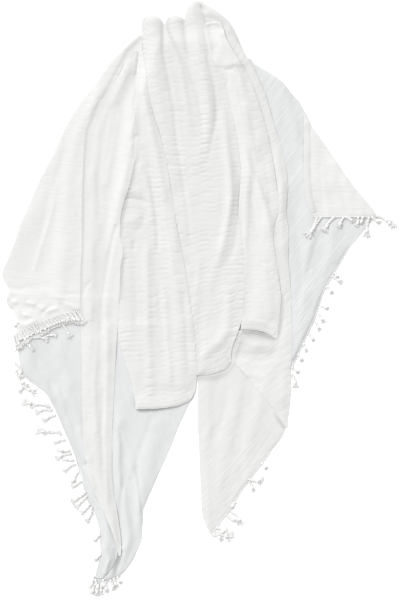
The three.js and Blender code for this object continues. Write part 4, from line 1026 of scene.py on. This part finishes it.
# each tassel: (rootX, rootY, tipX, tipY)
fringes = {
    "fringe_left_wing": dict(
        seed=31, yarn=dict(ply=1.4, knot=3.8, fluff=1.0, twist=11.0, sag=1.6),
        edge=[(-457, -105), (-430, -94), (-406, -81), (-381, -71), (-356, -61), (-331, -55), (-300, -52)],
        tassels=[
            (-464, -88, -452, -128), (-458, -84, -441, -119), (-446, -80, -424, -106),
            (-432, -74, -412, -98), (-420, -66, -399, -94), (-408, -60, -385, -88), (-394, -54, -373, -79),
            (-381, -50, -364, -73), (-368, -45, -350, -67), (-356, -40, -337, -63), (-342, -36, -324, -57),
            (-330, -33, -314, -60), (-318, -31, -302, -62), (-308, -31, -289, -65), (-414, -98, -378, -106),
            (-389, -96, -356, -92), (-424, -112, -413, -128), (-341, -66, -323, -98),
            (-430, -114, -420, -122), (-452, -58, -462, -68), (-461, -86, -447, -125),
            (-452, -82, -432, -114), (-439, -77, -419, -101), (-426, -70, -405, -98),
            (-414, -63, -393, -92), (-401, -57, -379, -86), (-388, -52, -369, -76), (-375, -48, -357, -72),
            (-362, -43, -343, -66), (-349, -38, -331, -62), (-336, -34, -319, -60), (-324, -32, -308, -62),
            (-313, -31, -296, -64)],
    ),
    "fringe_left_lower": dict(
        seed=32,
        edge=[
            (-446, -172), (-429, -202), (-384, -232), (-359, -278), (-336, -332), (-311, -390),
            (-281, -500), (-264, -540)],
        tassels=[
            (-464, -157, -444, -200), (-460, -176, -426, -220), (-452, -200, -406, -232),
            (-440, -206, -452, -234), (-378, -264, -446, -254), (-374, -270, -424, -268),
            (-368, -278, -411, -286), (-360, -290, -391, -306), (-349, -330, -409, -322),
            (-345, -338, -395, -337), (-336, -352, -364, -361), (-324, -378, -356, -374),
            (-320, -386, -359, -402), (-314, -402, -341, -396), (-310, -412, -339, -432),
            (-304, -432, -316, -463), (-296, -456, -320, -470), (-284, -482, -322, -506),
            (-281, -492, -310, -522), (-274, -512, -298, -534), (-270, -520, -286, -556)],
    ),
    "fringe_left_tip": dict(
        seed=33,
        edge=[
            (-249, -578), (-246, -640), (-259, -688), (-262, -716), (-256, -716), (-226, -704),
            (-196, -690)],
        tassels=[
            (-262, -712, -266, -738), (-254, -712, -257, -742), (-244, -708, -245, -739),
            (-234, -705, -229, -733), (-224, -702, -216, -728), (-214, -697, -205, -720),
            (-206, -694, -196, -710), (-264, -692, -272, -722), (-260, -700, -248, -728),
            (-240, -700, -236, -722), (-249, -590, -262, -606), (-247, -640, -260, -654)],
    ),
    "fringe_right_lower": dict(
        seed=34,
        edge=[(34, -590), (39, -578), (56, -550), (76, -528), (101, -482), (139, -432), (176, -382)],
        tassels=[
            (122, -450, 160, -447), (124, -453, 155, -462), (123, -457, 134, -481), (91, -507, 82, -524),
            (78, -530, 103, -566), (68, -540, 96, -553), (36, -584, 69, -579), (35, -588, 86, -589),
            (34, -590, 81, -603), (32, -589, 56, -606), (44, -572, 62, -588), (156, -410, 168, -424)],
    ),
    "fringe_right_back": dict(
        seed=35,
        edge=[
            (231, -172), (259, -108), (286, -52), (309, 18), (331, 58), (351, 92), (376, 135), (398, 160)],
        tassels=[
            (331, 58, 356, 41), (318, 32, 329, 12), (303, -16, 322, -23), (297, -36, 310, -58),
            (290, -57, 301, -78), (274, -86, 285, -105), (259, -110, 268, -131), (245, -138, 255, -156),
            (230, -170, 248, -185), (229, -186, 238, -222), (338, 66, 346, 54)],
    ),
    "fringe_right_wing": dict(
        seed=36,
        edge=[(286, 205), (330, 205), (390, 205), (452, 203)],
        tassels=[
            (293, 204, 268, 154), (303, 204, 277, 160), (337, 205, 313, 166), (361, 205, 350, 178),
            (366, 205, 384, 192), (396, 206, 391, 182), (424, 205, 421, 153), (441, 208, 478, 184),
            (446, 210, 488, 178), (430, 206, 452, 190), (408, 206, 402, 188)],
    ),
}


def tubeAlong(bm, path, radii, sides, flat=1.0):
    # a grid rolled into a tube round a path, its seam merged and its ends closed
    path = [Vector(p) for p in path]
    made = bmesh.ops.create_grid(bm, x_segments=len(path) - 1, y_segments=sides, size=1.0)["verts"]
    for vert in made:
        k = int(round((vert.co.x * 0.5 + 0.5) * (len(path) - 1)))
        turn = 2 * math.pi * (vert.co.y * 0.5 + 0.5)
        ahead = (path[min(k + 1, len(path) - 1)] - path[max(k - 1, 0)]).normalized()
        side = ahead.cross(Vector((0, 0, 1)))
        if side.length < 0.05:
            side = Vector((1, 0, 0))
        side.normalize()
        vert.co = path[k] + radii[k] * (math.cos(turn) * side + flat * math.sin(turn) * side.cross(ahead))
    bmesh.ops.remove_doubles(bm, verts=made, dist=0.01)
    rim = {e for v in made if v.is_valid for e in v.link_edges if e.is_boundary}
    bmesh.ops.holes_fill(bm, edges=list(rim), sides=0)


def ground(x, y):
    return float(sampled(groundField, x, y))


def addTassel(bm, row, chance, s):
    # two plies twisted together, a wound knot and a fluffed end
    root, tip = np.array(row[:2], dtype=float), np.array(row[2:], dtype=float)
    run = tip - root
    length = float(np.hypot(*run))
    aside = np.array([-run[1], run[0]]) * chance.uniform(-s["bow"], s["bow"])
    shares = np.linspace(0, s["knotAt"], max(5, int(length / s["step"])))
    body = [root + run * t + aside * math.sin(math.pi * t) for t in shares]
    level = [ground(*p) + s["ply"] * (s["flat"] + s["plyRise"]) + 0.1 for p in body]
    for k in range(1, len(level)):  # hangs on past the cloth's edge
        level[k] = max(level[k], level[k - 1] - s["sag"])
    for ply in (0, 1):
        strand = []
        for k, place in enumerate(body):
            ahead = body[min(k + 1, len(body) - 1)] - body[max(k - 1, 0)]
            ahead = ahead / (np.linalg.norm(ahead) + 1e-9)
            turn = 2 * math.pi * shares[k] * length / s["twist"] + ply * math.pi
            off, rise = s["plyOut"] * s["ply"] * math.cos(turn), s["plyRise"] * s["ply"] * math.sin(turn)
            strand.append((place[0] - ahead[1] * off, place[1] + ahead[0] * off, level[k] + rise))
        tubeAlong(bm, strand, [s["ply"]] * len(strand), s["plySides"], s["flat"])
    heading = math.atan2(*(body[-1] - body[-2])[::-1])
    size = s["knot"] * chance.uniform(*s["knotSizes"])
    made = bmesh.ops.create_icosphere(bm, subdivisions=2, radius=size)["verts"]
    for vert in made:  # wound yarn
        around = math.atan2(vert.co.z, vert.co.y)
        vert.co *= 1 + s["wound"] * math.sin(around * 2 + vert.co.x * s["woundPitch"])
    knotAt = Vector((*body[-1], ground(*body[-1]) + size * s["knotLift"]))
    bmesh.ops.scale(bm, vec=s["knotShape"], verts=made)
    turned(bm, made, heading + chance.uniform(-s["knotTurn"], s["knotTurn"]))
    bmesh.ops.translate(bm, vec=knotAt, verts=made)
    for k in range(s["ends"]):  # loose ends past the knot
        spread = heading + (k - s["ends"] // 2) * s["endSpread"] + chance.uniform(-s["endTurn"], s["endTurn"])
        reach = length * (1 - s["knotAt"]) * chance.uniform(*s["endReach"]) + s["endExtra"]
        ends = []
        for t, _ in s["endWidths"]:
            x, y = knotAt.x + math.cos(spread) * reach * t, knotAt.y + math.sin(spread) * reach * t
            ends.append((x, y, max(knotAt.z * (1 - t) ** s["endFall"], ground(x, y) + s["endLift"])))
        tubeAlong(bm, ends, [s["fluff"] * width for _, width in s["endWidths"]], s["endSides"], s["flat"])


def hangFringe(node, settings):
    s = {**yarnSettings, **settings.get("yarn", {})}
    chance = np.random.RandomState(settings["seed"])
    places, heading = alongLine(settings["edge"], s["headerStep"])
    outward = np.stack([heading[:, 1], -heading[:, 0]], axis=1)
    bm = bmesh.new()
    wind = s["headerWind"]
    for ply in (0, 1):
        twisted = []
        for k, (place, out) in enumerate(zip(places, outward)):
            turn = k * s["headerTurn"] + ply * math.pi
            x, y = place + out * (wind + wind * math.cos(turn))
            twisted.append((x, y, ground(x, y) + s["header"] + s["headerLift"] + wind * math.sin(turn)))
        tubeAlong(bm, twisted, [s["header"]] * len(twisted), s["plySides"])
    for row in settings["tassels"]:
        addTassel(bm, row, chance, s)
    for face in bm.faces:
        face.smooth = True
    bmesh.ops.recalc_face_normals(bm, faces=bm.faces)
    dress(placed(bm, node.replace("fringe_", "tassels_"), yarn), node)
    print("hung", node, len(settings["tassels"]))


groundField = smoothed(pile, 2, 1)
for node, settings in fringes.items():
    hangFringe(node, settings)


stageSettings = dict(
    floor=(0.97, 0.97, 0.97), floorRoughness=0.9, floorSize=6.0, floorDrop=0.0004, world=0.87,
    sun=2.65, sunSpread=30, lightFrom=(-0.52, 0.72, 0.72),
    frameTall=1.5, lens=200.0, sensor=36.0, aim=(1.25, -2.5), clipEnd=50,
)
bm = bmesh.new()
bmesh.ops.create_grid(bm, x_segments=1, y_segments=1, size=stageSettings["floorSize"])
bmesh.ops.translate(bm, vec=(0, 0, -stageSettings["floorDrop"]), verts=bm.verts)
floorMesh = bpy.data.meshes.new("floor")
bm.to_mesh(floorMesh)
bm.free()
floorMaterial = bpy.data.materials.new("paleFloor")
floorMaterial.use_nodes = True
floorInputs = floorMaterial.node_tree.nodes["Principled BSDF"].inputs
floorInputs["Base Color"].default_value = (*stageSettings["floor"], 1)
floorInputs["Roughness"].default_value = stageSettings["floorRoughness"]
floor = shown(floorMesh, floorMaterial)

scene = bpy.context.scene
world = scene.world or bpy.data.worlds.new("world")
scene.world = world
world.use_nodes = True
world.node_tree.nodes["Background"].inputs[0].default_value = (1.0, 1.0, 1.0, 1)
world.node_tree.nodes["Background"].inputs[1].default_value = stageSettings["world"]
scene.view_settings.view_transform = "Standard"

sun = bpy.data.objects.new("softWindow", bpy.data.lights.new("softWindow", "SUN"))
sun.data.energy = stageSettings["sun"]
sun.data.angle = math.radians(stageSettings["sunSpread"])
sun.rotation_euler = Vector(stageSettings["lightFrom"]).to_track_quat("Z", "Y").to_euler()
scene.collection.objects.link(sun)

camera = bpy.data.objects.new("camera", bpy.data.cameras.new("camera"))
camera.data.lens = stageSettings["lens"]
camera.data.sensor_width = stageSettings["sensor"]
camera.data.clip_end = stageSettings["clipEnd"]
away = stageSettings["frameTall"] * camera.data.lens / camera.data.sensor_width
aimX, aimY = stageSettings["aim"]
camera.location = ((aimX + drawingShift.x) * mm, (aimY + drawingShift.y) * mm, away)
scene.collection.objects.link(camera)
scene.camera = camera
print("lit")
